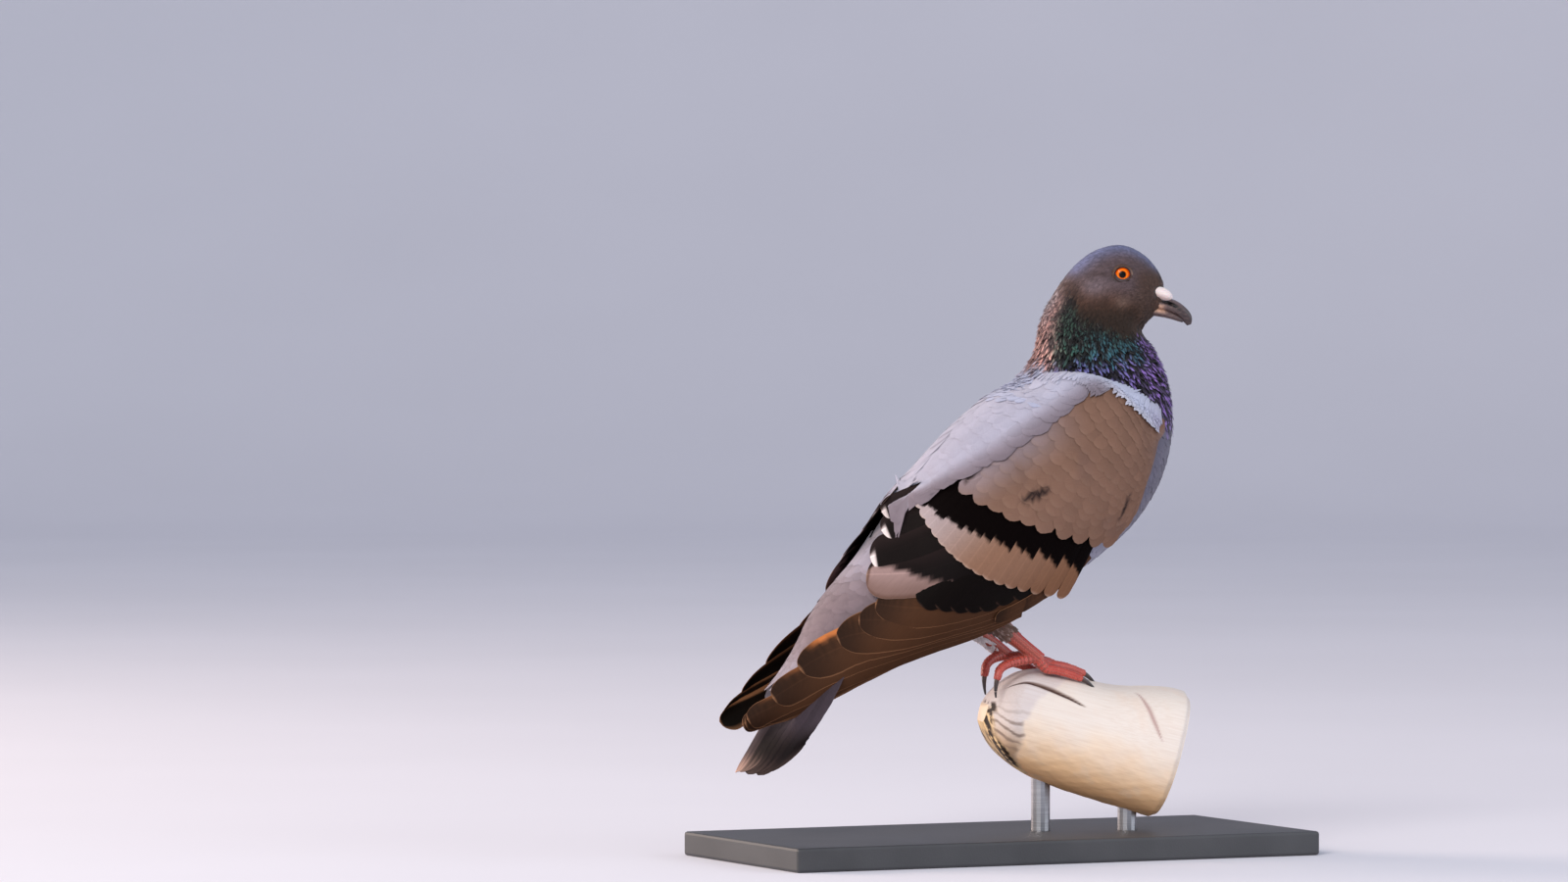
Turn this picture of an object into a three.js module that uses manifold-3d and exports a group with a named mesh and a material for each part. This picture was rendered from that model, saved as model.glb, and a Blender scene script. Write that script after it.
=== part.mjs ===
// A life-size rock pigeon standing on the cut end of a peeled branch, held by a plain display stand.
// Millimetres, +Z up. +X is the bird's heading and +Y its left. The origin is the centre of the
// underside of the stand's base.
import * as THREE from 'three';
import { mergeVertices } from 'three/addons/utils/BufferGeometryUtils.js';
import { RoundedBoxGeometry } from 'three/addons/geometries/RoundedBoxGeometry.js';
import Module from 'manifold-3d';

const wasm = await Module();
wasm.setup();

// ---- Driving dimensions -------------------------------------------------------------------

const GAP = 0.3;                    // clearance kept between two touching pieces
const HEAD_YAW = -25;               // degrees the head is turned to the bird's right
const NECK_PIVOT_X = 41.4;          // the upright axis that the neck turns about

const FLOOR = 3.5;                    // height of the stand's underside in the bird's own frame
const BASE = { length: 240, width: 112, height: 10, edge: 1.2 };
const ROD = { radius: 4, places: [8, 46], sink: 6 };

const PERCH = {
  centre: [9, -1, 60],              // point on the branch's axis under the feet
  yaw: -17,                         // degrees the branch turns to the bird's right
  fall: -16,                        // degrees it runs downhill towards its free end
  back: -17,                        // how far it reaches behind that point, along the axis
  front: 64,
  radius: 23.6,
  taper: 0.025,                     // growth of the radius per mm towards the free end
  // The worn end, above the axis and below it: where it starts, over what length it rises, to
  // what height and by what power.
  wornAbove: [-17.2, 19, 25.2, 0.55],
  wornBelow: [-18.2, 26, 23.6, 0.47],
  knot: { at: 60, spread: 19, height: 5.2 },      // a swelling on top, near the free end
  waist: { at: 30, spread: 12, height: -0.6 },    // a hollow on top, in front of the toes
  flat: 1.2,                        // the top is flattened by this much
};

const EYE = { place: [54.05, 7.1, 245.0], radius: 5.2 };

// Side outline of the body, from the face back to the root of the tail. Each row is one rib:
// x and z of its upper end, x and z of its lower end, its half width, and the share of HEAD_YAW
// that it turns by.
const BODY_RIBS = [
  [72.6, 239.0, 68.6, 228.4, 4.2, 1],       // face, behind the cere
  [69.0, 247.0, 65.8, 226.0, 6.6, 1],       // forehead
  [62.8, 253.6, 63.9, 223.9, 10.0, 1],
  [54.1, 257.2, 63.0, 222.2, 12.2, 1],      // crown, over the eye
  [43.9, 255.3, 62.4, 221.4, 12.9, 1],
  [34.9, 249.0, 62.9, 220.0, 13.3, 1],      // back of the head
  [26.3, 237.9, 64.8, 217.6, 14.4, 1],      // nape and throat
  [20.3, 225.3, 68.4, 212.0, 16.8, 0.95],
  [17.0, 211.0, 72.6, 202.6, 21.0, 0.7],    // foreneck
  [8.0, 200.4, 75.4, 188.6, 28.5, 0.3],     // foot of the neck
  [-7.0, 193.0, 74.0, 173.0, 36.5, 0],      // mantle and breast
  [-25.0, 179.0, 68.0, 155.5, 38.5, 0],
  [-41.5, 161.0, 55.5, 139.0, 38.0, 0],     // back and belly
  [-54.5, 143.5, 36.0, 124.0, 35.0, 0],
  [-66.0, 128.0, 14.0, 111.5, 29.5, 0],
  [-77.5, 116.0, -14.0, 102.0, 25.5, 0],    // rump and vent
  [-85.5, 106.0, -48.0, 90.5, 20.5, 0],
  [-91.0, 96.5, -80.0, 77.0, 13.5, 0],      // root of the tail
];
const HEAD_CUT = 6.6;               // rib numbers at which the body is parted
const NECK_CUT = 9.5;
const RUMP_CUT = 14.4;

// The folded right wing from its bend to its tip. Each row has one point on the upper edge, one
// on the outer face and one on the lower edge, and the thickness there.
const WING_RIBS = [
  [[49, -27, 190], [56, -31.5, 181], [54, -32, 171], 4],
  [[36, -30.5, 197], [40, -41.5, 174], [43.7, -36, 149], 9],
  [[14, -31, 189.5], [15, -46, 160], [24, -36, 130], 11],
  [[-13, -26, 174], [-12, -45.5, 145], [3, -34.5, 115], 11],
  [[-36, -18, 159.5], [-35, -42, 129.5], [-22.5, -31, 99.8], 10],
  [[-52, -12, 145.5], [-54, -35, 115], [-49, -27, 88.8], 8],
  [[-69, -12, 127], [-75, -26, 101], [-77, -22.5, 77.8], 5],
  [[-90, -14, 101.5], [-93, -20.5, 86], [-97, -18.3, 69.5], 3],
  [[-110, -14, 79.5], [-111.5, -17, 72], [-112.5, -15.2, 64.3], 2.2],
  [[-123, -12.5, 66.2], [-124.4, -13, 63.4], [-125, -13, 60.9], 1.2],
];
const WING_EDGE = 0.22;             // thickness of the wing's edges, as a share of its middle's
const TERTIAL_END = { upper: 6.1, lower: 3.75 };    // ribs where the secondaries end
const PRIMARY_START = 0.42;         // height on the wing at which the primaries come out
const COVERT_RISE = 1.8;            // how far the coverts stand over the wing's ruled face
const PRIMARY_DROP = 0.6;           // how far the flight feathers lie under it
const SEAM = 0.06;                  // share of the wing to leave for a millimetre of clearance

const TAIL = {
  root: [-64, 0, 119],              // where the quills leave the body
  tip: [-120.5, 0, 41],
  rootWidth: 22,
  width: 42,
  tipWidth: 29,
  roof: 4,                          // height of the middle feathers over the outer ones
  thickness: 3.4,
};

const LEG = {
  side: 15,                         // distance of each foot from the middle plane
  hip: [5, 126],                    // x and z down the limb
  knee: [-6, 112],
  ankle: [-14, 104],
  shankTop: [-9.4, 100.3],
  foot: [8.8, 86.6],
  thighRadii: [12, 9.5, 5.4],
  shankRadii: [4.6, 3.2, 3.0],
};

// Toes of the right foot and of the left: heading in degrees from +X, length without the claw,
// and how high the toe arches.
const TOES = {
  right: { middle: [10, 23, 0.8], outer: [-12, 18, 0.6], inner: [36, 16, 0.8], hind: [180, 14.5, 0] },
  left: { middle: [-26, 26, 2.2], outer: [-9, 18, 0.8], inner: [-50, 15, 0.6], hind: [192, 8.5, 0] },
};
const TOE = { rootRadius: 2.6, tipRadius: 1.7, claw: 7.5, clawRadius: 1.25, clawTip: 0.35 };
const HIND_DROPS = [0.6, 1.2, 2.0, 3.3, 5.2, 7.8];   // how far the hind toe sinks at each joint
const CLAW_BEND = { front: 0.4, hind: 0.15, turnIn: 0.22 };   // shares of the claw's length

// ---- Finishes -----------------------------------------------------------------------------

const FINISHES = {
  slate: { color: 0x6d6666, roughness: 0.85, metalness: 0 },
  neck: { color: 0x3f6b64, roughness: 0.5, metalness: 0.2 },
  plumage: { color: 0xb3a9a8, roughness: 0.9, metalness: 0 },
  wing: { color: 0xb5a596, roughness: 0.9, metalness: 0 },
  flight: { color: 0x4a3a31, roughness: 0.8, metalness: 0 },
  tail: { color: 0x5c5a61, roughness: 0.8, metalness: 0 },
  cere: { color: 0xece6e2, roughness: 0.8, metalness: 0 },
  bill: { color: 0x5a4c4e, roughness: 0.45, metalness: 0 },
  eye: { color: 0xe0701c, roughness: 0.1, metalness: 0 },
  skin: { color: 0xb8402e, roughness: 0.6, metalness: 0 },
  claw: { color: 0x2a2222, roughness: 0.4, metalness: 0 },
  wood: { color: 0xe6d5bf, roughness: 0.8, metalness: 0 },
  stand: { color: 0x3b3b3d, roughness: 0.5, metalness: 0 },
  rod: { color: 0xa8a8aa, roughness: 0.35, metalness: 1 },
};

// ---- Small mathematics --------------------------------------------------------------------

const mix = (a, b, k) => a + (b - a) * k;
const clamp = (value, low, high) => Math.min(high, Math.max(low, value));
const radians = (degrees) => degrees * Math.PI / 180;

// A smooth value from 0 to 1 as x goes from low to high.
function smooth(low, high, x) {
  const k = clamp((x - low) / (high - low), 0, 1);
  return k * k * (3 - 2 * k);
}

// Catmull-Rom interpolation through rows of numbers, at the place v counted in rows.
function throughRows(rows, v) {
  const last = rows.length - 1;
  const i = clamp(Math.floor(v), 0, last - 1);
  const k = clamp(v - i, 0, 1);
  const row = (n) => rows[clamp(n, 0, last)];
  return rows[0].map((_, column) => {
    const [a, b, c, d] = [row(i - 1), row(i), row(i + 1), row(i + 2)].map((r) => r[column]);
    const square = 2 * a - 5 * b + 4 * c - d;
    const cube = 3 * b - 3 * c + d - a;
    return b + 0.5 * (k * (c - a) + k * k * square + k * k * k * cube);
  });
}

// ---- Solids -------------------------------------------------------------------------------

// A closed solid from rings: point(u, v) gives the surface, u runs once round a ring and v from
// the first ring to the last, and each end is closed by a fan about the middle of its ring.
function ringSolid(around, along, point) {
  const positions = [];
  const faces = [];
  for (let j = 0; j <= along; j += 1) {
    for (let i = 0; i < around; i += 1) {
      positions.push(...point(i / around, j / along).toArray());
    }
  }
  const at = (i, j) => j * around + (i % around);
  for (let j = 0; j < along; j += 1) {
    for (let i = 0; i < around; i += 1) {
      faces.push(at(i, j), at(i + 1, j), at(i + 1, j + 1));
      faces.push(at(i, j), at(i + 1, j + 1), at(i, j + 1));
    }
  }
  for (const j of [0, along]) {
    const middle = new THREE.Vector3();
    for (let i = 0; i < around; i += 1) {
      middle.add(new THREE.Vector3().fromArray(positions, 3 * at(i, j)));
    }
    middle.divideScalar(around);
    const hub = positions.length / 3;
    positions.push(...middle.toArray());
    for (let i = 0; i < around; i += 1) {
      const edge = j === 0 ? [at(i + 1, j), at(i, j)] : [at(i, j), at(i + 1, j)];
      faces.push(...edge, hub);
    }
  }
  const geometry = new THREE.BufferGeometry();
  geometry.setAttribute('position', new THREE.Float32BufferAttribute(positions, 3));
  geometry.setIndex(faces);
  return facingOut(geometry);
}

// Signed volume of a closed indexed mesh.
function volumeOf(geometry) {
  const place = geometry.getAttribute('position');
  const index = geometry.getIndex();
  const [a, b, c] = [new THREE.Vector3(), new THREE.Vector3(), new THREE.Vector3()];
  let volume = 0;
  for (let i = 0; i < index.count; i += 3) {
    a.fromBufferAttribute(place, index.getX(i));
    b.fromBufferAttribute(place, index.getX(i + 1));
    c.fromBufferAttribute(place, index.getX(i + 2));
    volume += a.dot(b.cross(c)) / 6;
  }
  return volume;
}

function facingOut(geometry) {
  if (volumeOf(geometry) < 0) {
    const index = geometry.getIndex();
    for (let i = 0; i < index.count; i += 3) {
      const swap = index.getX(i);
      index.setX(i, index.getX(i + 1));
      index.setX(i + 1, swap);
    }
  }
  return geometry;
}

// A three.js geometry as a manifold solid, and back.
function toSolid(geometry) {
  const bare = geometry.clone();
  bare.deleteAttribute('normal');
  bare.deleteAttribute('uv');
  bare.clearGroups();
  const merged = mergeVertices(bare, 1e-4);
  return new wasm.Manifold(new wasm.Mesh({
    numProp: 3,
    vertProperties: new Float32Array(merged.getAttribute('position').array),
    triVerts: new Uint32Array(merged.getIndex().array),
  }));
}

function toGeometry(solid) {
  const cut = solid.getMesh();
  const geometry = new THREE.BufferGeometry();
  geometry.setAttribute('position', new THREE.Float32BufferAttribute(cut.vertProperties, 3));
  geometry.setIndex([...cut.triVerts]);
  return geometry;
}

// The largest piece of a solid, without the crumbs that a cut can leave.
function mainPiece(solid) {
  const pieces = solid.decompose();
  return pieces.reduce((best, piece) => (piece.volume() > best.volume() ? piece : best));
}

const placed = [];
function place(name, shape, finish) {
  const geometry = shape.isBufferGeometry ? shape : toGeometry(mainPiece(shape));
  const material = new THREE.MeshStandardMaterial(FINISHES[finish]);
  geometry.computeVertexNormals();
  const mesh = new THREE.Mesh(geometry, material);
  mesh.name = name;
  placed.push(mesh);
}

// A round bar along a row of points, with one radius at each point.
function taperedBar(points, radii, around = 10, along = 12, grow = 0) {
  const last = points.length - 1;
  const rows = points.map((p, i) => [...p, radii[i]]);
  return ringSolid(around, along, (u, v) => {
    const here = throughRows(rows, v * last);
    const ahead = throughRows(rows, clamp(v + 0.02, 0, 1) * last);
    const behind = throughRows(rows, clamp(v - 0.02, 0, 1) * last);
    const direction = new THREE.Vector3(ahead[0] - behind[0], ahead[1] - behind[1], ahead[2] - behind[2]);
    direction.normalize();
    const side = new THREE.Vector3(-direction.y, direction.x, 0);
    if (side.length() < 0.2) {
      side.set(0, 1, 0);
    }
    side.addScaledVector(direction, -side.dot(direction)).normalize();
    const up = direction.clone().cross(side);
    const angle = 2 * Math.PI * u;
    const radius = here[3] + grow;
    return new THREE.Vector3(here[0], here[1], here[2])
      .addScaledVector(side, radius * Math.cos(angle))
      .addScaledVector(up, radius * Math.sin(angle))
      .addScaledVector(direction, v === 0 ? -grow : (v === 1 ? grow : 0));
  });
}

// A copy mirrored in the bird's middle plane.
function mirrored(geometry) {
  const copy = geometry.clone();
  copy.scale(1, -1, 1);
  return facingOut(copy);
}

// ---- The body -----------------------------------------------------------------------------

// Turns a point of the straight bird about the neck's axis by a share of the head's turn.
function turned(point, share) {
  const angle = radians(HEAD_YAW) * share;
  const x = point.x - NECK_PIVOT_X;
  return new THREE.Vector3(
    NECK_PIVOT_X + x * Math.cos(angle) - point.y * Math.sin(angle),
    x * Math.sin(angle) + point.y * Math.cos(angle),
    point.z,
  );
}

function onHead(geometry) {
  const copy = geometry.clone();
  copy.translate(-NECK_PIVOT_X, 0, 0).rotateZ(radians(HEAD_YAW)).translate(NECK_PIVOT_X, 0, 0);
  return copy;
}

// The body's skin: an ellipse across each rib, flattened a little at the sides. grow swells it.
function bodyPoint(u, rib, grow) {
  const [topX, topZ, lowX, lowZ, halfWidth, share] = throughRows(BODY_RIBS, rib);
  const angle = 2 * Math.PI * u;
  const halfHeight = Math.hypot(topX - lowX, topZ - lowZ) / 2;
  const alongX = (topX - lowX) / (2 * halfHeight);
  const alongZ = (topZ - lowZ) / (2 * halfHeight);
  const across = Math.sign(Math.sin(angle)) * Math.abs(Math.sin(angle)) ** 0.92;
  const reach = (halfHeight + grow) * Math.cos(angle);
  const straight = new THREE.Vector3(
    (topX + lowX) / 2 + reach * alongX,
    (halfWidth + grow) * across,
    (topZ + lowZ) / 2 + reach * alongZ,
  );
  return turned(straight, share);
}

function bodySolid(grow) {
  const last = BODY_RIBS.length - 1;
  return toSolid(ringSolid(24, 32, (u, v) => bodyPoint(u, v * last, grow)));
}

// The plane of a rib as a normal that points to the tail, and its distance from the origin.
function ribPlane(rib) {
  const upper = bodyPoint(0, rib, 0);
  const lower = bodyPoint(0.5, rib, 0);
  const side = bodyPoint(0.25, rib, 0);
  const normal = upper.clone().sub(lower).cross(side.clone().sub(lower)).normalize();
  if (normal.x > 0) {
    normal.negate();
  }
  return { normal, offset: normal.dot(lower) };
}

function partBody(whole, from, to) {
  let piece = whole;
  if (from !== null) {
    const { normal, offset } = ribPlane(from);
    piece = piece.trimByPlane(normal.toArray(), offset + GAP / 2);
  }
  if (to !== null) {
    const { normal, offset } = ribPlane(to);
    piece = piece.trimByPlane(normal.clone().negate().toArray(), -(offset - GAP / 2));
  }
  return piece;
}

// ---- The face -----------------------------------------------------------------------------

function eyeball(side, grow) {
  const geometry = new THREE.SphereGeometry(EYE.radius + grow, 12, 7);
  geometry.translate(EYE.place[0], side * EYE.place[1], EYE.place[2]);
  return onHead(geometry);
}

// A horn sheath: ellipses along a row of [x, z, half width, half height].
function horn(rows, grow) {
  return ringSolid(8, 6, (u, v) => {
    const [x, z, halfWidth, halfHeight] = throughRows(rows, v * (rows.length - 1));
    const angle = 2 * Math.PI * u;
    const end = v === 0 ? -grow : (v === 1 ? grow : 0);
    return new THREE.Vector3(
      x + end,
      (halfWidth + grow) * Math.cos(angle),
      z + (halfHeight + grow) * Math.sin(angle),
    );
  });
}

const UPPER_BILL = [
  [64.0, 234.0, 4.2, 2.6], [70.0, 232.9, 4.1, 2.6], [75.0, 231.7, 3.5, 2.9],
  [79.0, 229.4, 2.6, 2.55], [81.4, 226.6, 1.4, 2.2], [82.3, 223.9, 0.5, 0.9],
];
const LOWER_BILL = [
  [63.0, 230.0, 3.9, 1.9], [69.0, 229.3, 3.6, 1.9], [74.0, 228.1, 2.9, 1.6],
  [78.0, 226.4, 1.9, 1.1], [79.8, 225.4, 0.9, 0.6],
];

// The cere: two soft lobes side by side over the nostrils.
const CERE = { axes: [5.3, 3.6, 2.6], place: [70.8, 2.5, 237.0], lean: 22 };
function cereLobes(grow) {
  const lobes = [-1, 1].map((side) => {
    const lobe = new THREE.SphereGeometry(1, 8, 6);
    lobe.scale(...CERE.axes.map((axis) => axis + grow));
    lobe.rotateY(radians(CERE.lean));
    lobe.translate(CERE.place[0], side * CERE.place[1], CERE.place[2]);
    return toSolid(onHead(lobe));
  });
  return lobes[0].add(lobes[1]);
}

// ---- The wings ----------------------------------------------------------------------------

// Outer face of the right wing: a parabola through the upper edge, the outer face and the lower
// edge of each rib. s counts ribs and t goes from the upper edge to the lower.
function wingPoint(s, t) {
  const row = throughRows(WING_RIBS.map(([a, b, c, d]) => [...a, ...b, ...c, d]), s);
  const [upper, outer, lower] = [0, 3, 6].map((n) => new THREE.Vector3().fromArray(row, n));
  const control = outer.multiplyScalar(2).addScaledVector(upper, -0.5).addScaledVector(lower, -0.5);
  const point = upper.multiplyScalar((1 - t) ** 2);
  point.addScaledVector(control, 2 * t * (1 - t)).addScaledVector(lower, t * t);
  return { point, thickness: row[9] };
}

function wingNormal(s, t) {
  const step = 0.02;
  const last = WING_RIBS.length - 1;
  const s0 = clamp(s, step, last - step);
  const t0 = clamp(t, step, 1 - step);
  const alongS = wingPoint(s0 + step, t0).point.sub(wingPoint(s0 - step, t0).point);
  const alongT = wingPoint(s0, t0 + step).point.sub(wingPoint(s0, t0 - step).point);
  return alongS.cross(alongT).normalize();
}

// Rib number at which the secondaries end, for each height on the wing.
function tertialEnd(t) {
  return mix(TERTIAL_END.upper, TERTIAL_END.lower, smooth(0, 1.05, t) ** 1.3);
}

function wingPanel(from, to, upper, drop, rings, grow = 0) {
  const across = 8;
  const around = 2 * across;
  return ringSolid(around, rings, (u, v) => {
    const n = Math.round(u * around);
    const inner = n >= across;
    const k = clamp((inner ? around - 1 - n : n) / (across - 1), 0, 1);
    const edge = mix(-grow, grow, k) * SEAM;
    const t = mix(upper * (1 - smooth(0, 0.5, v)), 1, k) + edge;
    const s = mix(from(t), to(t) + grow * SEAM, v);
    const { point, thickness } = wingPoint(s, t);
    const middle = Math.sqrt(Math.sin(Math.PI * clamp(t, 0, 1)));
    const depth = thickness * mix(WING_EDGE, 1, middle);
    return point.addScaledVector(wingNormal(s, t), inner ? -(depth + drop + grow) : grow - drop);
  });
}

// ---- The tail -----------------------------------------------------------------------------

function tailSolid(grow) {
  const root = new THREE.Vector3(...TAIL.root);
  const tip = new THREE.Vector3(...TAIL.tip);
  const along = tip.clone().sub(root);
  const normal = new THREE.Vector3(along.z, 0, -along.x).normalize();
  const across = 7;
  const around = 2 * across;
  return ringSolid(around, 10, (u, v) => {
    const n = Math.round(u * around);
    const under = n >= across;
    const k = (under ? around - 1 - n : n) / (across - 1) * 2 - 1;
    const reach = v * (1 - 0.05 * k * k * k * k);
    const spread = mix(TAIL.rootWidth, TAIL.width, smooth(0, 0.6, v));
    const halfWidth = mix(spread, TAIL.tipWidth, smooth(0.62, 1, v) ** 1.5) / 2;
    const thin = TAIL.thickness * (1 - 0.55 * v) * (1 - 0.45 * k * k);
    return root.clone().addScaledVector(along, reach)
      .addScaledVector(new THREE.Vector3(0, 1, 0), (halfWidth + grow) * k)
      .addScaledVector(normal, (under ? -thin - grow : grow) - TAIL.roof * k * k);
  });
}

// ---- The perch ----------------------------------------------------------------------------

const perchFrame = (() => {
  const yaw = radians(PERCH.yaw);
  const fall = radians(PERCH.fall);
  const run = Math.cos(fall);
  const axis = new THREE.Vector3(run * Math.cos(yaw), run * Math.sin(yaw), Math.sin(fall));
  const side = new THREE.Vector3(-Math.sin(yaw), Math.cos(yaw), 0);
  return { centre: new THREE.Vector3(...PERCH.centre), axis, side, up: axis.clone().cross(side) };
})();

// Radius of the branch at a distance along its axis, in the direction of an angle from its top.
function perchRadius(distance, angle) {
  const bump = ({ at, spread, height }) => height * Math.exp(-(((distance - at) / spread) ** 2));
  const above = Math.max(0, Math.cos(angle));
  const knot = bump(PERCH.knot) * mix(0.45, 1, Math.cos(angle));
  const hollow = bump(PERCH.waist) * above - PERCH.flat * Math.cos(4 * angle) * above;
  const uneven = 0.5 * Math.sin(2 * angle + 0.7) + 0.3 * Math.sin(3 * angle + distance / 30);
  return PERCH.radius + PERCH.taper * distance + knot + hollow + uneven;
}

// Height over the branch's axis, held in softly under the worn end's outline.
function wornHeight(distance, height) {
  const [start, length, tall, power] = height > 0 ? PERCH.wornAbove : PERCH.wornBelow;
  const limit = tall * Math.max((distance - start) / length, 0.01) ** power;
  const sharpness = 8;
  return height / (1 + (Math.abs(height) / limit) ** sharpness) ** (1 / sharpness);
}

function perchSolid(grow) {
  return ringSolid(20, 11, (u, v) => {
    const angle = 2 * Math.PI * u;
    const share = v ** 1.7;           // closer rings at the worn end
    const fromBack = smooth(0, 0.15, share) ** 0.6;
    const fromFront = v === 1 ? 0.94 : 1;
    const length = mix(PERCH.back, PERCH.front, share);
    const radius = perchRadius(length, angle) * mix(0.42, 1, fromBack) * fromFront;
    const height = wornHeight(length, radius * Math.cos(angle));
    const end = v === 0 ? -grow : (v === 1 ? grow : 0);
    return perchFrame.centre.clone()
      .addScaledVector(perchFrame.axis, length + end)
      .addScaledVector(perchFrame.side, (radius + grow) * Math.sin(angle))
      .addScaledVector(perchFrame.up, height + grow * Math.cos(angle));
  });
}

// Height of the branch's upper side over a point of the plan, and how far back the point lies.
function perchTop(x, y) {
  const { centre, axis, side, up } = perchFrame;
  const flat = new THREE.Vector3(x - centre.x, y - centre.y, 0);
  const sideways = flat.dot(side);
  const forwards = flat.dot(new THREE.Vector3(axis.x, axis.y, 0).normalize());
  const distance = forwards / Math.hypot(axis.x, axis.y);
  const angle = Math.asin(clamp(sideways / PERCH.radius, -0.95, 0.95));
  const radius = perchRadius(distance, angle);
  return centre.z + distance * axis.z + radius * Math.cos(angle) / up.z;
}

// ---- Legs and toes ------------------------------------------------------------------------

const limbPoint = ([x, z], side, spread = 0) => [x, side * (LEG.side + spread), z];

// A forward toe lies along the branch; the hind toe bends down over its cut end.
function toePath(side, [heading, length, arch]) {
  const [startX, , startZ] = limbPoint(LEG.foot, side);
  const startY = side * LEG.side;
  const angle = radians(heading);
  const points = [[startX, startY, startZ - 0.6]];
  for (let i = 1; i <= 5; i += 1) {
    const run = length * i / 5;
    const x = startX + run * Math.cos(angle);
    const y = startY + run * Math.sin(angle);
    const lift = TOE.rootRadius + GAP - 0.6 * i / 5 + arch * Math.sin(Math.PI * i / 5);
    points.push([x, y, perchTop(x, y) + lift]);
  }
  return points;
}

function hindPath(side, [heading, length]) {
  const angle = radians(heading);
  const [startX, startY, startZ] = limbPoint(LEG.foot, side);
  return HIND_DROPS.map((drop, i) => {
    const run = length * Math.sin(Math.PI / 2 * i / 5) * 1.25;
    return [startX + run * Math.cos(angle), startY + run * Math.sin(angle), startZ - drop];
  });
}

// A claw carries the toe's line on and bends it down.
function clawPath(toe, hind) {
  const end = new THREE.Vector3(...toe.at(-1));
  const before = new THREE.Vector3(...toe.at(-2));
  const forward = end.clone().sub(before).normalize();
  const bend = hind ? CLAW_BEND.hind : CLAW_BEND.front;
  const points = [];
  for (let i = 0; i <= 4; i += 1) {
    const run = TOE.claw * i / 4;
    const sink = bend * TOE.claw * (i / 4) ** 2;
    const turnIn = hind ? CLAW_BEND.turnIn * TOE.claw * (i / 4) ** 2 : 0;
    const along = end.clone().addScaledVector(forward, run + TOE.tipRadius * 0.3);
    points.push([along.x + turnIn, along.y, along.z - sink]);
  }
  return points;
}

// ---- Assembly -----------------------------------------------------------------------------

const whole = bodySolid(0);
const swollen = bodySolid(GAP);

const faceTools = [
  toSolid(eyeball(1, GAP)),
  toSolid(eyeball(-1, GAP)),
  toSolid(onHead(horn(UPPER_BILL, GAP))),
  toSolid(onHead(horn(LOWER_BILL, GAP))),
  cereLobes(GAP),
];
let head = partBody(whole, null, HEAD_CUT);
faceTools.forEach((tool) => {
  head = head.subtract(tool);
});
place('head', head, 'slate');
place('eye_right', eyeball(-1, 0), 'eye');
place('eye_left', eyeball(1, 0), 'eye');

const upperBill = toSolid(onHead(horn(UPPER_BILL, 0)));
const lowerBill = toSolid(onHead(horn(LOWER_BILL, 0)));
place('bill_upper', upperBill.subtract(cereLobes(GAP)), 'bill');
place('bill_lower', lowerBill.subtract(toSolid(onHead(horn(UPPER_BILL, GAP)))), 'bill');
place('cere', cereLobes(0), 'cere');

place('neck', partBody(whole, HEAD_CUT, NECK_CUT), 'neck');
place('trunk', partBody(whole, NECK_CUT, RUMP_CUT), 'plumage');

place('rump', partBody(whole, RUMP_CUT, null), 'plumage');
place('tail', toSolid(tailSolid(0)).subtract(swollen), 'tail');

const tailSwollen = toSolid(tailSolid(GAP));
const wingEnd = WING_RIBS.length - 1;
const covertPanel = (grow) => wingPanel(() => 0, tertialEnd, 0, -COVERT_RISE, 9, grow);
const coverts = covertPanel(0);
const covertsSwollen = covertPanel(3 * GAP);
const primaries = wingPanel(tertialEnd, () => wingEnd, PRIMARY_START, PRIMARY_DROP, 7);
for (const [side, name] of [[-1, 'right'], [1, 'left']]) {
  const shape = (geometry) => toSolid(side < 0 ? geometry : mirrored(geometry));
  place(`wing_${name}`, shape(coverts).subtract(swollen), 'wing');
  const quills = shape(primaries).subtract(shape(covertsSwollen));
  place(`wing_${name}_tip`, quills.subtract(swollen).subtract(tailSwollen), 'flight');
}

const branch = perchSolid(0);
const branchSwollen = toSolid(perchSolid(GAP));
for (const [side, name] of [[-1, 'right'], [1, 'left']]) {
  const thigh = taperedBar(
    [limbPoint(LEG.hip, side, 3), limbPoint(LEG.knee, side, 1), limbPoint(LEG.ankle, side)],
    LEG.thighRadii, 12, 6,
  );
  const shankMiddle = [mix(LEG.ankle[0], LEG.foot[0], 0.55), mix(LEG.ankle[1], LEG.foot[1], 0.55)];
  const shankLine = [LEG.shankTop, shankMiddle, LEG.foot].map((point) => limbPoint(point, side));
  const shank = taperedBar(shankLine, LEG.shankRadii, 12, 8);
  const shankTool = toSolid(taperedBar(shankLine, LEG.shankRadii, 12, 8, GAP));
  const wingTool = toSolid(side < 0 ? coverts : mirrored(coverts));
  const feathered = toSolid(thigh).subtract(swollen).subtract(shankTool).subtract(wingTool);
  place(`thigh_${name}`, feathered, 'plumage');
  place(`leg_${name}`, toSolid(shank).subtract(swollen).subtract(branchSwollen), 'skin');

  let taken = shankTool;
  for (const [digit, sizes] of Object.entries(TOES[name])) {
    const hind = digit === 'hind';
    const path = hind ? hindPath(side, sizes) : toePath(side, sizes);
    const radii = path.map((_, i) => mix(TOE.rootRadius, TOE.tipRadius, i / (path.length - 1)));
    const toe = toSolid(taperedBar(path, radii, 6, 5)).subtract(branchSwollen).subtract(taken);
    place(`toe_${name}_${digit}`, toe, 'skin');
    taken = taken.add(toSolid(taperedBar(path, radii, 6, 5, GAP)));
    const hook = clawPath(path, hind);
    const hookRadii = hook.map((_, i) => mix(TOE.clawRadius, TOE.clawTip, (i / 4) ** 1.4));
    const claw = toSolid(taperedBar(hook, hookRadii, 6, 4));
    place(`claw_${name}_${digit}`, claw.subtract(branchSwollen).subtract(taken), 'claw');
    taken = taken.add(toSolid(taperedBar(hook, hookRadii, 6, 4, GAP)));
  }
}

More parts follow.
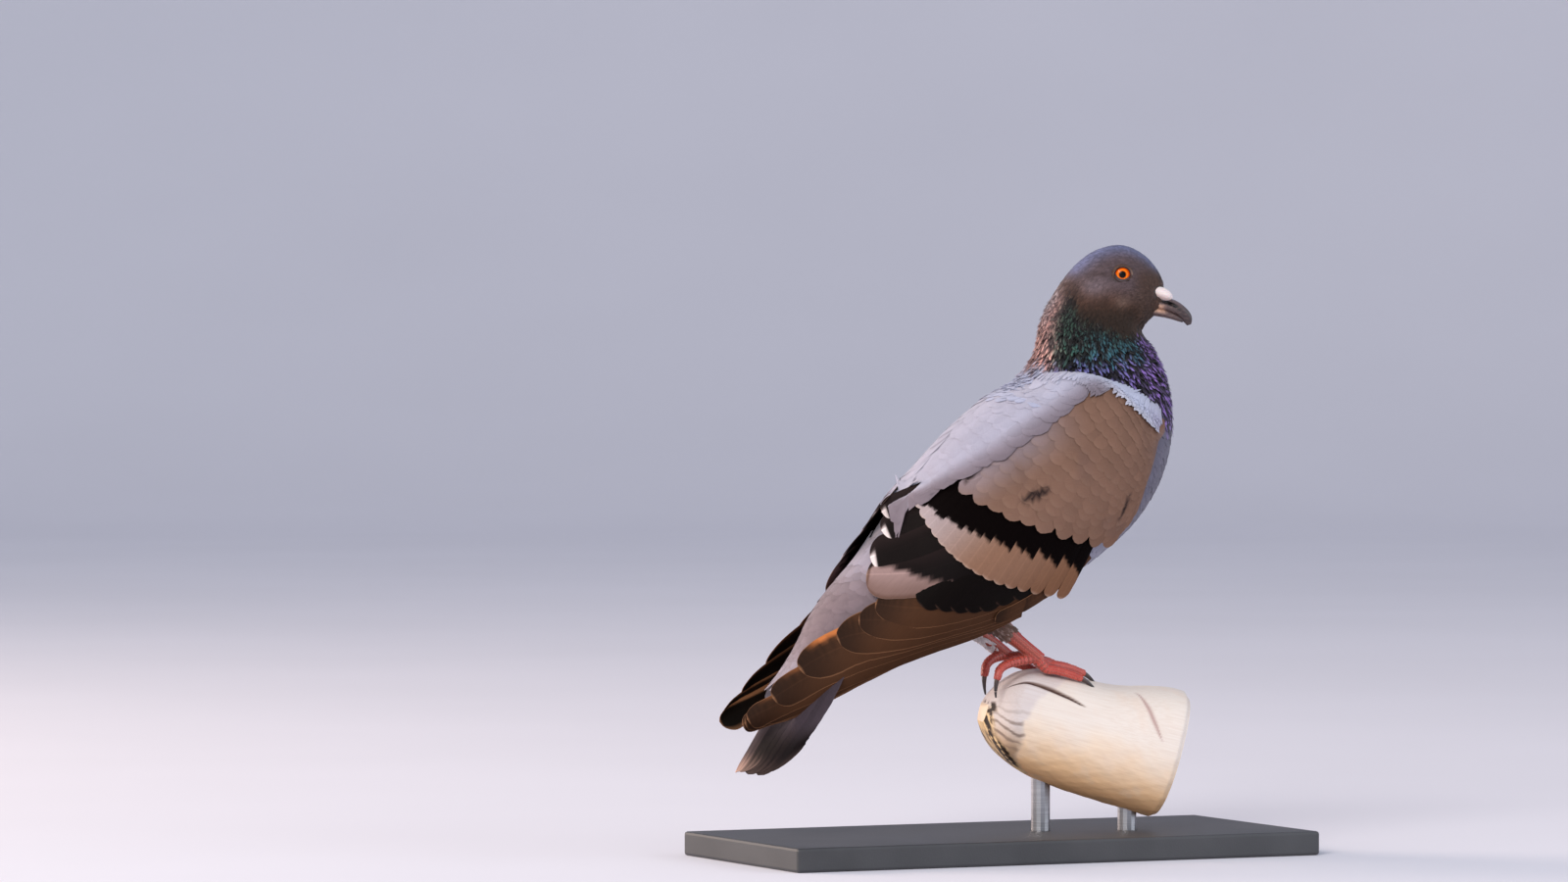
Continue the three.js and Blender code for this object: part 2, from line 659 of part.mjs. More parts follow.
// The stand: each rod is let into a socket in the branch and another in the base.
const base = new RoundedBoxGeometry(BASE.length, BASE.width, BASE.height, 1, BASE.edge);
base.translate(0, 0, FLOOR + BASE.height / 2);
let perchCut = toSolid(branch);
let baseCut = toSolid(base);
ROD.places.forEach((distance, i) => {
  const spot = perchFrame.centre.clone().addScaledVector(perchFrame.axis, distance);
  const top = spot.z - PERCH.radius + ROD.sink;
  const bottom = FLOOR + BASE.height - ROD.sink;
  const bar = (radius, low, high) => {
    const cylinder = new THREE.CylinderGeometry(radius, radius, high - low, 14);
    return cylinder.rotateX(Math.PI / 2).translate(spot.x, spot.y, (low + high) / 2);
  };
  place(`stand_rod_${i === 0 ? 'back' : 'front'}`, bar(ROD.radius, bottom, top), 'rod');
  const drill = toSolid(bar(ROD.radius + GAP, bottom - GAP, top + GAP));
  perchCut = perchCut.subtract(drill);
  baseCut = baseCut.subtract(drill);
});
place('perch', perchCut, 'wood');
place('stand_base', baseCut, 'stand');

const pigeon = new THREE.Group();
placed.forEach((mesh) => pigeon.add(mesh));
pigeon.position.z = -FLOOR;
export default pigeon;
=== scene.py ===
"""A life-size, still museum model of a rock pigeon that stands on the end of a cut branch.

Lengths are millimetres in the bird's own frame: +X is forward, +Y is the bird's left, +Z is up.
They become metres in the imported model's frame when a mesh is made. Colours are sRGB, 0 to 255.
"""

import logging
import math
from dataclasses import dataclass, field
from enum import Enum
from functools import partial
from typing import Callable

import bpy
import numpy as np
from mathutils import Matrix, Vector


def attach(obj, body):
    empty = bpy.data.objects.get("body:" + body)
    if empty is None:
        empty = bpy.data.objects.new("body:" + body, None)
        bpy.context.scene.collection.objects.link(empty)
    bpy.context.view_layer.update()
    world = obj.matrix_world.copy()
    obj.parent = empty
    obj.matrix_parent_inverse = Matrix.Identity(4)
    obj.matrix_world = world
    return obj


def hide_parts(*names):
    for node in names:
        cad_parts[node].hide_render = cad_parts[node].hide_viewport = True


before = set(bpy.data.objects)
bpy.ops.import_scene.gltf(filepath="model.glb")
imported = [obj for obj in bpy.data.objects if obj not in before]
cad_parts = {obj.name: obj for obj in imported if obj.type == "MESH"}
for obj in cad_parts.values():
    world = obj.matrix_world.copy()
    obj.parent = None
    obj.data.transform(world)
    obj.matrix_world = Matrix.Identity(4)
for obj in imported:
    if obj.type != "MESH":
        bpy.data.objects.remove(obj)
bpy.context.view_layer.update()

LOG = logging.getLogger("pigeon")
Array = np.ndarray
Paint = Callable[..., Array]
Material = bpy.types.Material
Socket = bpy.types.NodeSocket

METRE = 0.001
# The underside of the stand lies at this height in the bird's own frame.
FLOOR = 3.5
ALONG = math.tau
HEAD_TURN = -25.0
NECK_PIVOT_X = 41.4
SIDES = ((-1, "right"), (1, "left"))
# Two golden fractions, whose multiples fill a square evenly.
GOLDEN = (0.7548776662, 0.5698402910)


# ---- Numbers and curves


def smooth(low: float, high: float, value: Array) -> Array:
    """Eases from 0 at low to 1 at high: 3k² - 2k³."""
    k = np.clip((np.asarray(value, float) - low) / (high - low), 0.0, 1.0)
    return k * k * (3.0 - 2.0 * k)


def mix(first: Array, second: Array, share: Array) -> Array:
    """Goes in a straight line from first to second."""
    return first + (second - first) * share


def tone(base: Array, other: tuple, share: Array) -> Array:
    """Blends colours by a share for each point.

    Args:
        base: colours, with the three channels last.
        other: the colour to blend in.
        share: 0 to 1 for each point.

    Returns:
        The blended colours.
    """
    return base + (np.asarray(other, float) - base) * np.asarray(share, float)[..., None]


def painted(places: Array, base: tuple, *layers: tuple) -> Array:
    """Lays colours over a base, one after another.

    Args:
        places: points, whose shape the paint takes.
        base: the lowest colour.
        layers: a colour and its share for each point, from the lowest up.

    Returns:
        The colours.
    """
    colour = np.broadcast_to(np.array(base, float), places.shape)
    for other, share in layers:
        colour = tone(colour, other, share)
    return colour


def bell(value: Array, middle: float, spread: float) -> Array:
    """A bell curve of height 1: exp(-((value - middle) / spread)²)."""
    return np.exp(-(((value - middle) / spread) ** 2))


def unit(vectors: Array) -> Array:
    """Vectors of length 1 along the given ones."""
    return vectors / np.maximum(np.linalg.norm(vectors, axis=-1, keepdims=True), 1e-9)


def dot(first: Array, second: Array) -> Array:
    """Scalar product over the last axis."""
    return (first * second).sum(-1)


def from_top(y: Array) -> Array:
    """Share of the half turn away from the top, the same on either side."""
    return np.abs((y + 0.5) % 1 - 0.5) * 2


def graded(first: float, last: float, start: float, end: float) -> Callable:
    """A rule that goes from first to last while x goes from start to end, whatever y is."""
    return lambda x, y: mix(first, last, smooth(start, end, x)) + 0 * y


def circle(count: int, whole: float = ALONG) -> Array:
    """Even steps from 0 to a whole turn, which itself is left out."""
    return np.linspace(0, whole, count, endpoint=False)


def crossed(xs: Array, ys: Array) -> tuple[Array, Array]:
    """Both parameters at every point of a grid."""
    return np.meshgrid(xs, ys, indexing="ij")


def paired(x: Array, y: Array) -> tuple[Array, Array]:
    """Both parameters as numbers of one shape."""
    return np.broadcast_arrays(np.asarray(x, float), np.asarray(y, float))


def patches(rows: int, columns: int, turns: int) -> Array:
    """Corners of the four-sided faces between rows of points, whose rows close on themselves.

    Args:
        rows: rows of faces.
        columns: points in a row.
        turns: rows of points, after which the first comes again.

    Returns:
        Rows x columns x 4.
    """
    i, k = crossed(np.arange(rows), np.arange(columns))
    below, after = (i + 1) % turns * columns, (k + 1) % columns
    return np.stack([i * columns + k, below + k, below + after, i * columns + after], -1)


def through_rows(rows: Array, place: Array) -> Array:
    """A smooth curve through rows of numbers, and straight on beyond its ends.

    Between two rows it is the cubic whose slope at each row is half the step from the row
    before to the row after.

    Args:
        rows: one row of numbers for each whole value of place.
        place: where to read the curve, of any shape.

    Returns:
        The numbers at each place, along a new last axis.
    """
    rows = np.asarray(rows, float)
    place = np.asarray(place, float)
    last = len(rows) - 1
    inside = np.clip(place, 0.0, last)
    i = np.clip(np.floor(inside).astype(int), 0, last - 1)
    k = (inside - i)[..., None]
    a, b, c, d = (rows[np.clip(i + n, 0, last)] for n in (-1, 0, 1, 2))
    rise = k * (c - a) + k**2 * (2 * a - 5 * b + 4 * c - d) + k**3 * (3 * b - 3 * c + d - a)
    curve = b + 0.5 * rise
    slope = np.where((place < 0)[..., None], rows[1] - rows[0], rows[last] - rows[last - 1])
    return curve + slope * (place - inside)[..., None]


def turned(points: Array, share: Array | float = 1.0) -> Array:
    """Turns points about the neck's upright axis by a share of the head's turn."""
    angle = np.radians(HEAD_TURN) * share
    x, y = points[..., 0] - NECK_PIVOT_X, points[..., 1]
    cos, sin = np.cos(angle), np.sin(angle)
    return np.stack([NECK_PIVOT_X + x * cos - y * sin, x * sin + y * cos, points[..., 2]], -1)


def ripple(points: Array, size: float, seed: float) -> Array:
    """Smooth noise from -1 to 1: products of sines of skewed coordinates, at three sizes.

    Args:
        points: places in mm.
        size: distance between the broad waves, in mm.
        seed: shifts the pattern.

    Returns:
        One number for each place.
    """
    total = np.zeros(points.shape[:-1])
    for n, (weight, finer) in enumerate(((0.6, 1.0), (0.3, 2.1), (0.15, 4.3))):
        k = ALONG * finer / size
        x, y, z = (points[..., i] * k + seed * (i + 1.7) + n for i in range(3))
        bent = np.sin(x + 0.7 * np.sin(y * 0.9 + z * 0.4))
        total += weight * bent * np.cos(0.8 * y - 0.6 * z + 0.5 * np.sin(x))
    return total


# ---- Meshes


@dataclass
class Stock:
    """Closed solids made of rings of points, gathered for one mesh."""

    points: list = field(default_factory=list)
    corners: list = field(default_factory=list)
    sizes: list = field(default_factory=list)
    tints: list = field(default_factory=list)
    vanes: list = field(default_factory=list)
    bakes: list = field(default_factory=list)
    count: int = 0
    mapped: bool = True
    crease: float = 60.0

    def rings(
        self, points: Array, tint: Array | float = 0.0, vane: Array | float = 0.0, bake: Array | None = None
    ) -> None:
        """Adds solids. Each is a row of closed rings, and a point closes it at either end.

        Args:
            points: solids x stations x ring x 3, where station times ring order points outwards.
            tint: colours.
            vane: length along, width across and a number for each solid, for the barb pattern.
            bake: places on the texture's map.
        """
        solids, stations, around = points.shape[:3]
        k = np.arange(around)
        after = (k + 1) % around
        head, tip, last = stations * around, stations * around + 1, (stations - 1) * around
        root_fan = np.stack([np.full(around, head), k, after], -1)
        tip_fan = np.stack([np.full(around, tip), last + after, last + k], -1)
        quads = patches(stations - 1, around, stations)
        one = np.concatenate([quads.ravel(), root_fan.ravel(), tip_fan.ravel()])
        size = np.concatenate([np.full(quads.size // 4, 4), np.full(2 * around, 3)])
        each = stations * around + 2
        base = self.count + np.arange(solids)[:, None] * each
        self.corners.append((one + base).ravel())
        self.sizes.append(np.tile(size, solids))
        self.points.append(self._with_ends(points))
        self.tints.append(self._with_ends(np.broadcast_to(tint, points.shape)))
        self.vanes.append(self._with_ends(np.broadcast_to(vane, points.shape)))
        if self.mapped and bake is not None:
            self.bakes.append(self._with_ends(bake, 0.4))
        self.count += solids * each

    @staticmethod
    def _with_ends(values: Array, reach: float = 0.0) -> Array:
        """Puts the two end points' values after each solid's own.

        Args:
            values: solids x stations x ring x channels.
            reach: how far past the end ring the end value lies, in steps between rings.

        Returns:
            Points x channels.
        """
        means = values.mean(axis=2)
        first = means[:, 0] + (means[:, 0] - means[:, 1]) * reach
        final = means[:, -1] + (means[:, -1] - means[:, -2]) * reach
        flat = values.reshape(len(values), -1, values.shape[-1])
        return np.concatenate([flat, first[:, None], final[:, None]], 1).reshape(-1, values.shape[-1])

    def mesh(self, name: str, material: Material) -> bpy.types.Object:
        """Makes the object from what has been gathered.

        Args:
            name: the piece's name.
            material: its finish.

        Returns:
            The object, linked to the scene and smooth.
        """
        points = np.concatenate(self.points)
        corners, sizes = np.concatenate(self.corners), np.concatenate(self.sizes)
        mesh = bpy.data.meshes.new(name)
        mesh.vertices.add(len(points))
        mesh.vertices.foreach_set("co", ((points - (0, 0, FLOOR)) * METRE).astype(np.float32).ravel())
        mesh.loops.add(len(corners))
        mesh.loops.foreach_set("vertex_index", corners.astype(np.int32))
        mesh.polygons.add(len(sizes))
        mesh.polygons.foreach_set("loop_start", (np.cumsum(sizes) - sizes).astype(np.int32))
        mesh.polygons.foreach_set("loop_total", sizes.astype(np.int32))
        mesh.polygons.foreach_set("use_smooth", np.ones(len(sizes), bool))
        mesh.update(calc_edges=True)
        mesh.set_sharp_from_angle(angle=math.radians(self.crease))
        set_tint(mesh, np.concatenate(self.tints))
        lie = mesh.attributes.new("Vane", "FLOAT_VECTOR", "POINT")
        lie.data.foreach_set("vector", np.concatenate(self.vanes).astype(np.float32).ravel())
        if self.bakes:
            bake = np.concatenate(self.bakes)
            low, high = bake.min(0), bake.max(0)
            bake = 0.01 + 0.98 * (bake - low) / (high - low)
            layer = mesh.uv_layers.new(name="OFBake")
            layer.data.foreach_set("uv", bake[corners].astype(np.float32).ravel())
        piece = bpy.data.objects.new(name, mesh)
        bpy.context.scene.collection.objects.link(piece)
        mesh.materials.append(material)
        LOG.info("%s: %d points, %d faces", name, len(points), len(sizes))
        return piece


def light(colours: Array) -> Array:
    """Linear light, 0 to 1, from sRGB, 0 to 255, by the sRGB standard's own curve."""
    share = np.clip(colours, 0, 255) / 255.0
    return np.where(share <= 0.04045, share / 12.92, ((share + 0.055) / 1.055) ** 2.4)


def linear(colour: tuple) -> tuple:
    """A colour as linear light, with an alpha of 1."""
    return (*light(np.array(colour, float)), 1.0)


def set_tint(mesh: bpy.types.Mesh, colours: Array) -> None:
    """Writes sRGB colours to the mesh's Tint attribute, as linear light."""
    rgba = np.concatenate([light(colours), np.ones((len(colours), 1))], 1).astype(np.float32)
    mesh.attributes.new("Tint", "FLOAT_COLOR", "POINT").data.foreach_set("color", rgba.ravel())


def mount(piece: bpy.types.Object, slot: str, *nodes: str) -> None:
    """Fixes a piece to the model's one body.

    Args:
        piece: the finished object.
        slot: the record's material slot; not used.
        nodes: the CAD nodes that it stands for.
    """
    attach(piece, "root")
    if nodes:
        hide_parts(*nodes)


# ---- Sheets: surfaces that feathers and scales lie on


class Sheet:
    """A surface of two parameters: x runs the way that feathers lie, and y across it."""

    outward = 1.0
    step = 0.004

    def point(self, x: Array, y: Array) -> Array:
        """Places on the surface, in mm."""
        raise NotImplementedError

    def frame(self, x: Array, y: Array) -> tuple[Array, Array, Array, Array]:
        """Measures the surface by central differences.

        Args:
            x: first parameter.
            y: second parameter.

        Returns:
            The place, its change for each unit of x and of y, and the outward normal.
        """
        h = self.step
        along = (self.point(x + h, y) - self.point(x - h, y)) / (2 * h)
        across = (self.point(x, y + h) - self.point(x, y - h)) / (2 * h)
        return self.point(x, y), along, across, unit(np.cross(along, across)) * self.outward

    @staticmethod
    def shift(along: Array, across: Array, offset: Array) -> tuple[Array, Array]:
        """Finds the change of both parameters that moves a place by an offset, by least squares."""
        a, b, c = dot(along, along), dot(along, across), dot(across, across)
        d, e = dot(along, offset), dot(across, offset)
        whole = np.maximum(a * c - b * b, 1e-6 * a * c + 1e-9)
        return (c * d - b * e) / whole, (a * e - b * d) / whole

    def walk(self, x: Array, y: Array, heading: Array, length: Array | float) -> tuple[Array, Array]:
        """Takes a straight step over the surface.

        Args:
            x: first parameter of each start.
            y: second parameter.
            heading: turn away from the sheet's x towards its y, in radians.
            length: length of the step, in mm.

        Returns:
            The changes of both parameters.
        """
        _, along, across, _ = self.frame(x, y)
        ahead = unit(along)
        aside = unit(across - ahead * dot(across, ahead)[:, None])
        way = ahead * np.cos(heading)[:, None] + aside * np.sin(heading)[:, None]
        return self.shift(along, across, way * np.reshape(length, (-1, 1)))

    def grid(self, xs: Array, ys: Array, inset: Array | float = 0.0) -> Array:
        """Points on a grid of both parameters, moved in by an inset."""
        place, _, _, normal = self.frame(*crossed(xs, ys))
        return place - normal * inset


@dataclass
class BodySheet(Sheet):
    """Head, neck and body: a loft. x is the rib's number, y the turn round it from its top.

    Each rib is a flat oval. It reaches from its low point to its top point in the upright
    plane, and its half width goes to either side, times the sine to the power 0.92. The head's
    ribs are turned about the neck.
    """

    grow: float = 0.0
    outward = -1.0
    ribs: tuple = (
        (72.6, 239.0, 68.6, 228.4, 4.2, 1), (69.0, 247.0, 65.8, 226.0, 6.6, 1),
        (62.8, 253.6, 63.9, 223.9, 10.0, 1), (54.1, 257.2, 63.0, 222.2, 12.2, 1),
        (43.9, 255.3, 62.4, 221.4, 12.9, 1), (34.9, 249.0, 62.9, 220.0, 13.3, 1),
        (26.3, 237.9, 64.8, 217.6, 14.4, 1), (20.3, 225.3, 68.4, 212.0, 16.8, 0.95),
        (17.0, 211.0, 72.6, 202.6, 21.0, 0.7), (8.0, 200.4, 75.4, 188.6, 28.5, 0.3),
        (-7.0, 193.0, 74.0, 173.0, 36.5, 0), (-25.0, 179.0, 68.0, 155.5, 38.5, 0),
        (-41.5, 161.0, 55.5, 139.0, 38.0, 0), (-54.5, 143.5, 36.0, 124.0, 35.0, 0),
        (-66.0, 128.0, 14.0, 111.5, 29.5, 0), (-77.5, 116.0, -14.0, 102.0, 25.5, 0),
        (-85.5, 106.0, -48.0, 90.5, 20.5, 0), (-91.0, 96.5, -80.0, 77.0, 13.5, 0),
    )

    def straight(self, x: Array, y: Array) -> tuple[Array, Array]:
        """The place before the head is turned, and the share of the turn."""
        row = through_rows(self.ribs, x)
        middle = (row[..., 0:2] + row[..., 2:4]) / 2
        reach = (row[..., 0:2] - row[..., 2:4]) / 2
        height = np.linalg.norm(reach, axis=-1)
        lean = reach / height[..., None]
        cos, sin = np.cos(ALONG * y), np.sin(ALONG * y)
        plane = middle + lean * ((height + self.grow) * cos)[..., None]
        width = (row[..., 4] + self.grow) * np.sign(sin) * np.abs(sin) ** 0.92
        return np.stack([plane[..., 0], width, plane[..., 1]], -1), row[..., 5]

    def point(self, x: Array, y: Array) -> Array:
        """Places on the loft, with the head turned."""
        return turned(*self.straight(*paired(x, y)))


@dataclass
class WingSheet(Sheet):
    """Outside of a folded wing. x runs from wrist to tip, y from upper to lower edge.

    Each station is a quadratic curve from the upper through the outer to the lower point. The
    left wing mirrors the right one.
    """

    side: int = -1
    ribs: tuple = (
        (49, -27, 190, 56, -31.5, 181, 54, -32, 171, 4),
        (36, -30.5, 197, 40, -41.5, 174, 43.7, -36, 149, 9),
        (14, -31, 189.5, 15, -46, 160, 24, -36, 130, 11),
        (-13, -26, 174, -12, -45.5, 145, 3, -34.5, 115, 11),
        (-36, -18, 159.5, -35, -42, 129.5, -22.5, -31, 99.8, 10),
        (-52, -12, 145.5, -54, -35, 115, -49, -27, 88.8, 8),
        (-69, -12, 127, -75, -26, 101, -77, -22.5, 77.8, 5),
        (-90, -14, 101.5, -93, -20.5, 86, -97, -18.3, 69.5, 3),
        (-110, -14, 79.5, -111.5, -17, 72, -112.5, -15.2, 64.3, 2.2),
        (-123, -12.5, 66.2, -124.4, -13, 63.4, -125, -13, 60.9, 1.2),
    )

    def __post_init__(self) -> None:
        """The mirrored wing's parameters turn the other way."""
        self.outward = -float(self.side)

    def thickness(self, x: Array) -> Array:
        """Depth of the folded wing at each station."""
        return through_rows(self.ribs, x)[..., 9]

    def point(self, x: Array, y: Array) -> Array:
        """Places on the wing."""
        x, y = paired(x, y)
        row = through_rows(self.ribs, x)
        upper, outer, lower = row[..., 0:3], row[..., 3:6], row[..., 6:9]
        middle = 2 * outer - (upper + lower) / 2
        y = y[..., None]
        place = upper * (1 - y) ** 2 + middle * 2 * y * (1 - y) + lower * y * y
        return place * (1, -self.side, 1)


@dataclass
class MantleSheet(Sheet):
    """Shoulder feathers' bed: a skin stretched from the back's ridge to the wing.

    Each station is a cubic curve that leaves the back and meets the wing along their own
    surfaces. x runs tailwards, y from the back to the wing.
    """

    side: int = -1
    stand: float = 1.9
    pull: float = 0.46
    # Rib and turn on the body, then station and height on the wing.
    knots: tuple = (
        (8.75, 0.33, 0.25, 0.48), (8.4, 0.26, 0.55, 0.28), (8.3, 0.14, 0.95, 0.06),
        (8.6, 0.03, 1.45, 0.0), (9.6, 0.004, 2.2, 0.05), (10.8, 0.004, 3.1, 0.06),
        (11.9, 0.004, 4.05, 0.02), (12.9, 0.004, 4.8, -0.05), (13.5, 0.004, 5.3, -0.1),
    )

    def __post_init__(self) -> None:
        """Keeps the two surfaces that the skin joins."""
        self.outward = -float(self.side)
        self.body, self.wing = BodySheet(), WingSheet(self.side)

    def point(self, x: Array, y: Array) -> Array:
        """Places on the shoulder."""
        x, y = paired(x, y)
        rib, turn, station, height = np.moveaxis(through_rows(self.knots, x), -1, 0)
        turn = np.maximum(turn, 0.002)
        start = self.body.point(rib, self.side * turn)
        leave = self.body.point(rib, self.side * (turn + 0.03)) - start
        wing, _, _, normal = self.wing.frame(station, height)
        end = wing + normal * self.stand
        meet = self.wing.point(station, height - 0.12) - wing
        reach = np.linalg.norm(end - start, axis=-1, keepdims=True) * self.pull
        second, third = start + unit(leave) * reach, end + unit(meet) * reach
        y = y[..., None]
        near, far = start * (1 - y) ** 3 + second * 3 * y * (1 - y) ** 2, third * 3 * y**2 * (1 - y)
        return near + far + end * y**3


@dataclass
class TailSheet(Sheet):
    """Upper side of the folded tail: a shallow roof that widens and then narrows to the tip."""

    outward = -1.0
    root: tuple = (-64.0, 0.0, 119.0)
    tip: tuple = (-120.5, 0.0, 41.0)
    root_width: float = 22.0
    width: float = 42.0
    tip_width: float = 29.0
    roof: float = 4.0

    def point(self, x: Array, y: Array) -> Array:
        """Places on the tail. x runs from root to tip, y from -1 on the right to 1."""
        x, y = paired(x, y)
        run = np.subtract(self.tip, self.root)
        way = run / np.linalg.norm(run)
        normal = np.array([way[2], 0, -way[0]])
        half = mix(self.root_width, self.width, smooth(0, 0.6, x))
        half = mix(half, self.tip_width, smooth(0.62, 1, x) ** 1.5) / 2
        place = np.asarray(self.root) + run * (x * (1 - 0.05 * y**4))[..., None]
        place = place + np.array([0, 1.0, 0]) * (half * y)[..., None]
        return place + normal * (-self.roof * y**2)[..., None]


@dataclass
class TubeSheet(Sheet):
    """A round limb along a path. x counts the path's points, y is the turn round it."""

    path: Array
    radii: Array
    level: tuple = (0.0, 0.0, 1.0)
    flatten: float = 0.0

    def point(self, x: Array, y: Array) -> Array:
        """Places on the tube: the path plus the radius, in the plane across the path."""
        x, y = paired(x, y)
        centre = through_rows(self.path, x)
        way = unit(through_rows(self.path, x + 0.05) - through_rows(self.path, x - 0.05))
        side = unit(np.cross(way, np.asarray(self.level)))
        up = np.cross(side, way)
        radius = through_rows(np.asarray(self.radii, float)[:, None], x)[..., 0]
        cos, sin = np.cos(ALONG * y), np.sin(ALONG * y)
        low = 1 - self.flatten * np.clip(-sin, 0, 1)
        return centre + side * (radius * cos)[..., None] + up * (radius * sin * low)[..., None]


# ---- Feathers


class Grain(Enum):
    """How finely a feather is built: stations along it, its width at each, and its ring.

    A ring's entry is the place across, from -1 to 1, and 1 for the upper face, -1 for the
    lower one and 0 for the edge.
    """

    FINE = ((0, 0.45, 0.82, 1), (0.5, 1, 0.75, 0.15), ((-1, 0), (0, 1), (1, 0), (0, -1)))
    HACKLE = (
        (0, 0.42, 0.78, 1), (0.5, 1, 0.8, 0.12),
        ((-1, 0), (-0.4, 1), (0.4, 1), (1, 0), (0, -1)),
    )
    MIDDLE = (
        (0, 0.3, 0.6, 0.85, 1), (0.5, 0.85, 1, 0.78, 0.2),
        ((-1, 0), (-0.5, 1), (0, 1), (0.5, 1), (1, 0), (0, -1)),
    )
    BROAD = (
        (0, 0.2, 0.42, 0.64, 0.82, 0.94, 1), (0.45, 0.75, 0.95, 1, 0.86, 0.55, 0.2),
        ((-1, 0), (-0.62, 1), (-0.2, 1), (0.2, 1), (0.62, 1), (1, 0), (0.4, -1), (-0.4, -1)),
    )


@dataclass
class Spot:
    """What a feather's paint is worked out from, all shaped solids x stations x ring."""

    x: Array
    y: Array
    root_x: Array
    root_y: Array
    along: Array
    across: Array
    seed: Array
    other: Array
    place: Array


@dataclass
class Coat:
    """Small feathers or scales on a sheet, each a thin closed blade that rises over the next.

    A blade starts under the sheet, follows it along its lie and ends proud of it, so that each
    one lies over those behind it, as slates do.
    """

    sheet: Sheet
    grain: Grain
    paint: Paint
    depth: float
    proud: float = 0.1
    thickness: float = 0.14
    camber: float = 0.05
    curl: float = 0.0
    scatter: float = 0.12
    ragged: float = 0.1
    seed: int = 1
    patch: float = 0.003
    cell: tuple = (0, 1)

    def sow(
        self, xs: tuple, ys: tuple, spacing: Callable, keep: Callable | None = None, cells: int = 120
    ) -> tuple[Array, Array]:
        """Picks roots at an even spacing.

        The number of roots wanted in each cell of a grid is its area over the spacing squared.
        An even sequence of two golden fractions goes through the inverse of the running sums.

        Args:
            xs: lowest and highest x.
            ys: lowest and highest y.
            spacing: distance between roots for each x and y, in mm.
            keep: 0 to 1 for each x and y, to leave places bare.
            cells: cells on either side of the grid.

        Returns:
            The roots' two parameters.
        """
        gx, gy = np.linspace(*xs, cells), np.linspace(*ys, cells)
        x, y = crossed(gx, gy)
        _, along, across, _ = self.sheet.frame(x, y)
        wanted = np.linalg.norm(np.cross(along, across), axis=-1) / spacing(x, y) ** 2
        if keep is not None:
            wanted = wanted * keep(x, y)
        count = int(wanted.mean() * (xs[1] - xs[0]) * (ys[1] - ys[0]))
        number = np.arange(1, count + 1)
        first, second = (number * step % 1 for step in GOLDEN)
        sums = np.concatenate([[0], np.cumsum(wanted.mean(1)[:-1] + wanted.mean(1)[1:])])
        root_x = np.interp(first, sums / sums[-1], gx)
        row = np.clip(np.searchsorted(gx, root_x) - 1, 0, cells - 2)
        share = ((root_x - gx[row]) / (gx[1] - gx[0]))[:, None]
        line = mix(wanted[row], wanted[row + 1], share)
        climb = np.concatenate([np.zeros((count, 1)), np.cumsum(line[:, :-1] + line[:, 1:], 1)], 1)
        climb /= climb[:, -1:]
        cell = np.clip((climb < second[:, None]).sum(1) - 1, 0, cells - 2)
        pick = np.arange(count)
        low, high = climb[pick, cell], climb[pick, cell + 1]
        root_y = gy[cell] + (gy[1] - gy[0]) * (second - low) / np.maximum(high - low, 1e-9)
        return root_x, root_y

    def tips(self, roots: tuple, heading: Array, length: Array) -> tuple[Array, Array]:
        """Where blades from these roots would end, by one straight step along their heading."""
        dx, dy = self.sheet.walk(*roots, np.radians(heading), length)
        return roots[0] + dx, roots[1] + dy

    def lay(
        self, stock: Stock, roots: tuple, heading: Array | float, length: Array, half: Array | float,
        lift: Array | float = 0.0,
    ) -> None:
        """Adds one blade for each root.

        Args:
            stock: where the blades are gathered.
            roots: both parameters of each root.
            heading: turn away from the sheet's x, in degrees, towards its y.
            length: length of each blade.
            half: half its width.
            lift: extra height of each blade.
        """
        random = np.random.default_rng(self.seed)
        count = len(roots[0])
        stations, shape, ring = (np.array(part, float) for part in self.grain.value)
        turn = random.normal(0, 60 * self.scatter, count)
        heading = np.radians(np.broadcast_to(heading, count) + turn)
        length = length * (1 + random.normal(0, self.scatter, count))
        xs, ys = [np.asarray(roots[0], float)], [np.asarray(roots[1], float)]
        for step in np.diff(stations):
            dx, dy = self.sheet.walk(xs[-1], ys[-1], heading, length * step)
            xs.append(xs[-1] + dx)
            ys.append(ys[-1] + dy)
        wobble = 1 + random.normal(0, self.ragged, (count, len(stations)))
        half = np.broadcast_to(half, count)[:, None] * shape * wobble
        loose = np.broadcast_to(lift, count) + random.normal(0, self.scatter * 0.8, count)
        rise = mix(-self.depth, self.proud, stations) + self.curl * smooth(0.6, 1, stations)
        rise = rise + loose[:, None] * stations
        self.blade(stock, np.stack(xs, 1), np.stack(ys, 1), half, rise, ring, stations, length, random)

    def blade(
        self, stock: Stock, x: Array, y: Array, half: Array, rise: Array, ring: Array,
        stations: Array, length: Array, random: np.random.Generator,
    ) -> None:
        """Turns spines on the sheet into closed blades, paints them and gathers them.

        Each ring's points lie on the sheet beside the spine, at the spine's height less a
        camber that grows with the square of the place across.

        Args:
            stock: where the blades are gathered.
            x: first parameter of each spine, blades x stations.
            y: second parameter.
            half: half width.
            rise: height over the sheet.
            ring: the ring's places.
            stations: the stations, from 0 to 1.
            length: length of each blade.
            random: source of chance.
        """
        across, face = ring[:, 0], ring[:, 1]
        _, along_x, along_y, normal = self.sheet.frame(x, y)
        step_x, step_y = (np.gradient(part, axis=1)[..., None] for part in (x, y))
        beside = np.cross(normal, unit(along_x * step_x + along_y * step_y))
        offset = beside[:, :, None] * (half[:, :, None] * across)[..., None]
        dx, dy = self.sheet.shift(along_x[:, :, None], along_y[:, :, None], offset)
        place_x, place_y = x[:, :, None] + dx, y[:, :, None] + dy
        points = self.sheet.point(place_x, place_y)
        camber = self.camber * half[:, :, None] * across**2
        height = rise[:, :, None] - camber + face * self.thickness / 2
        points = points + normal[:, :, None] * height[..., None]
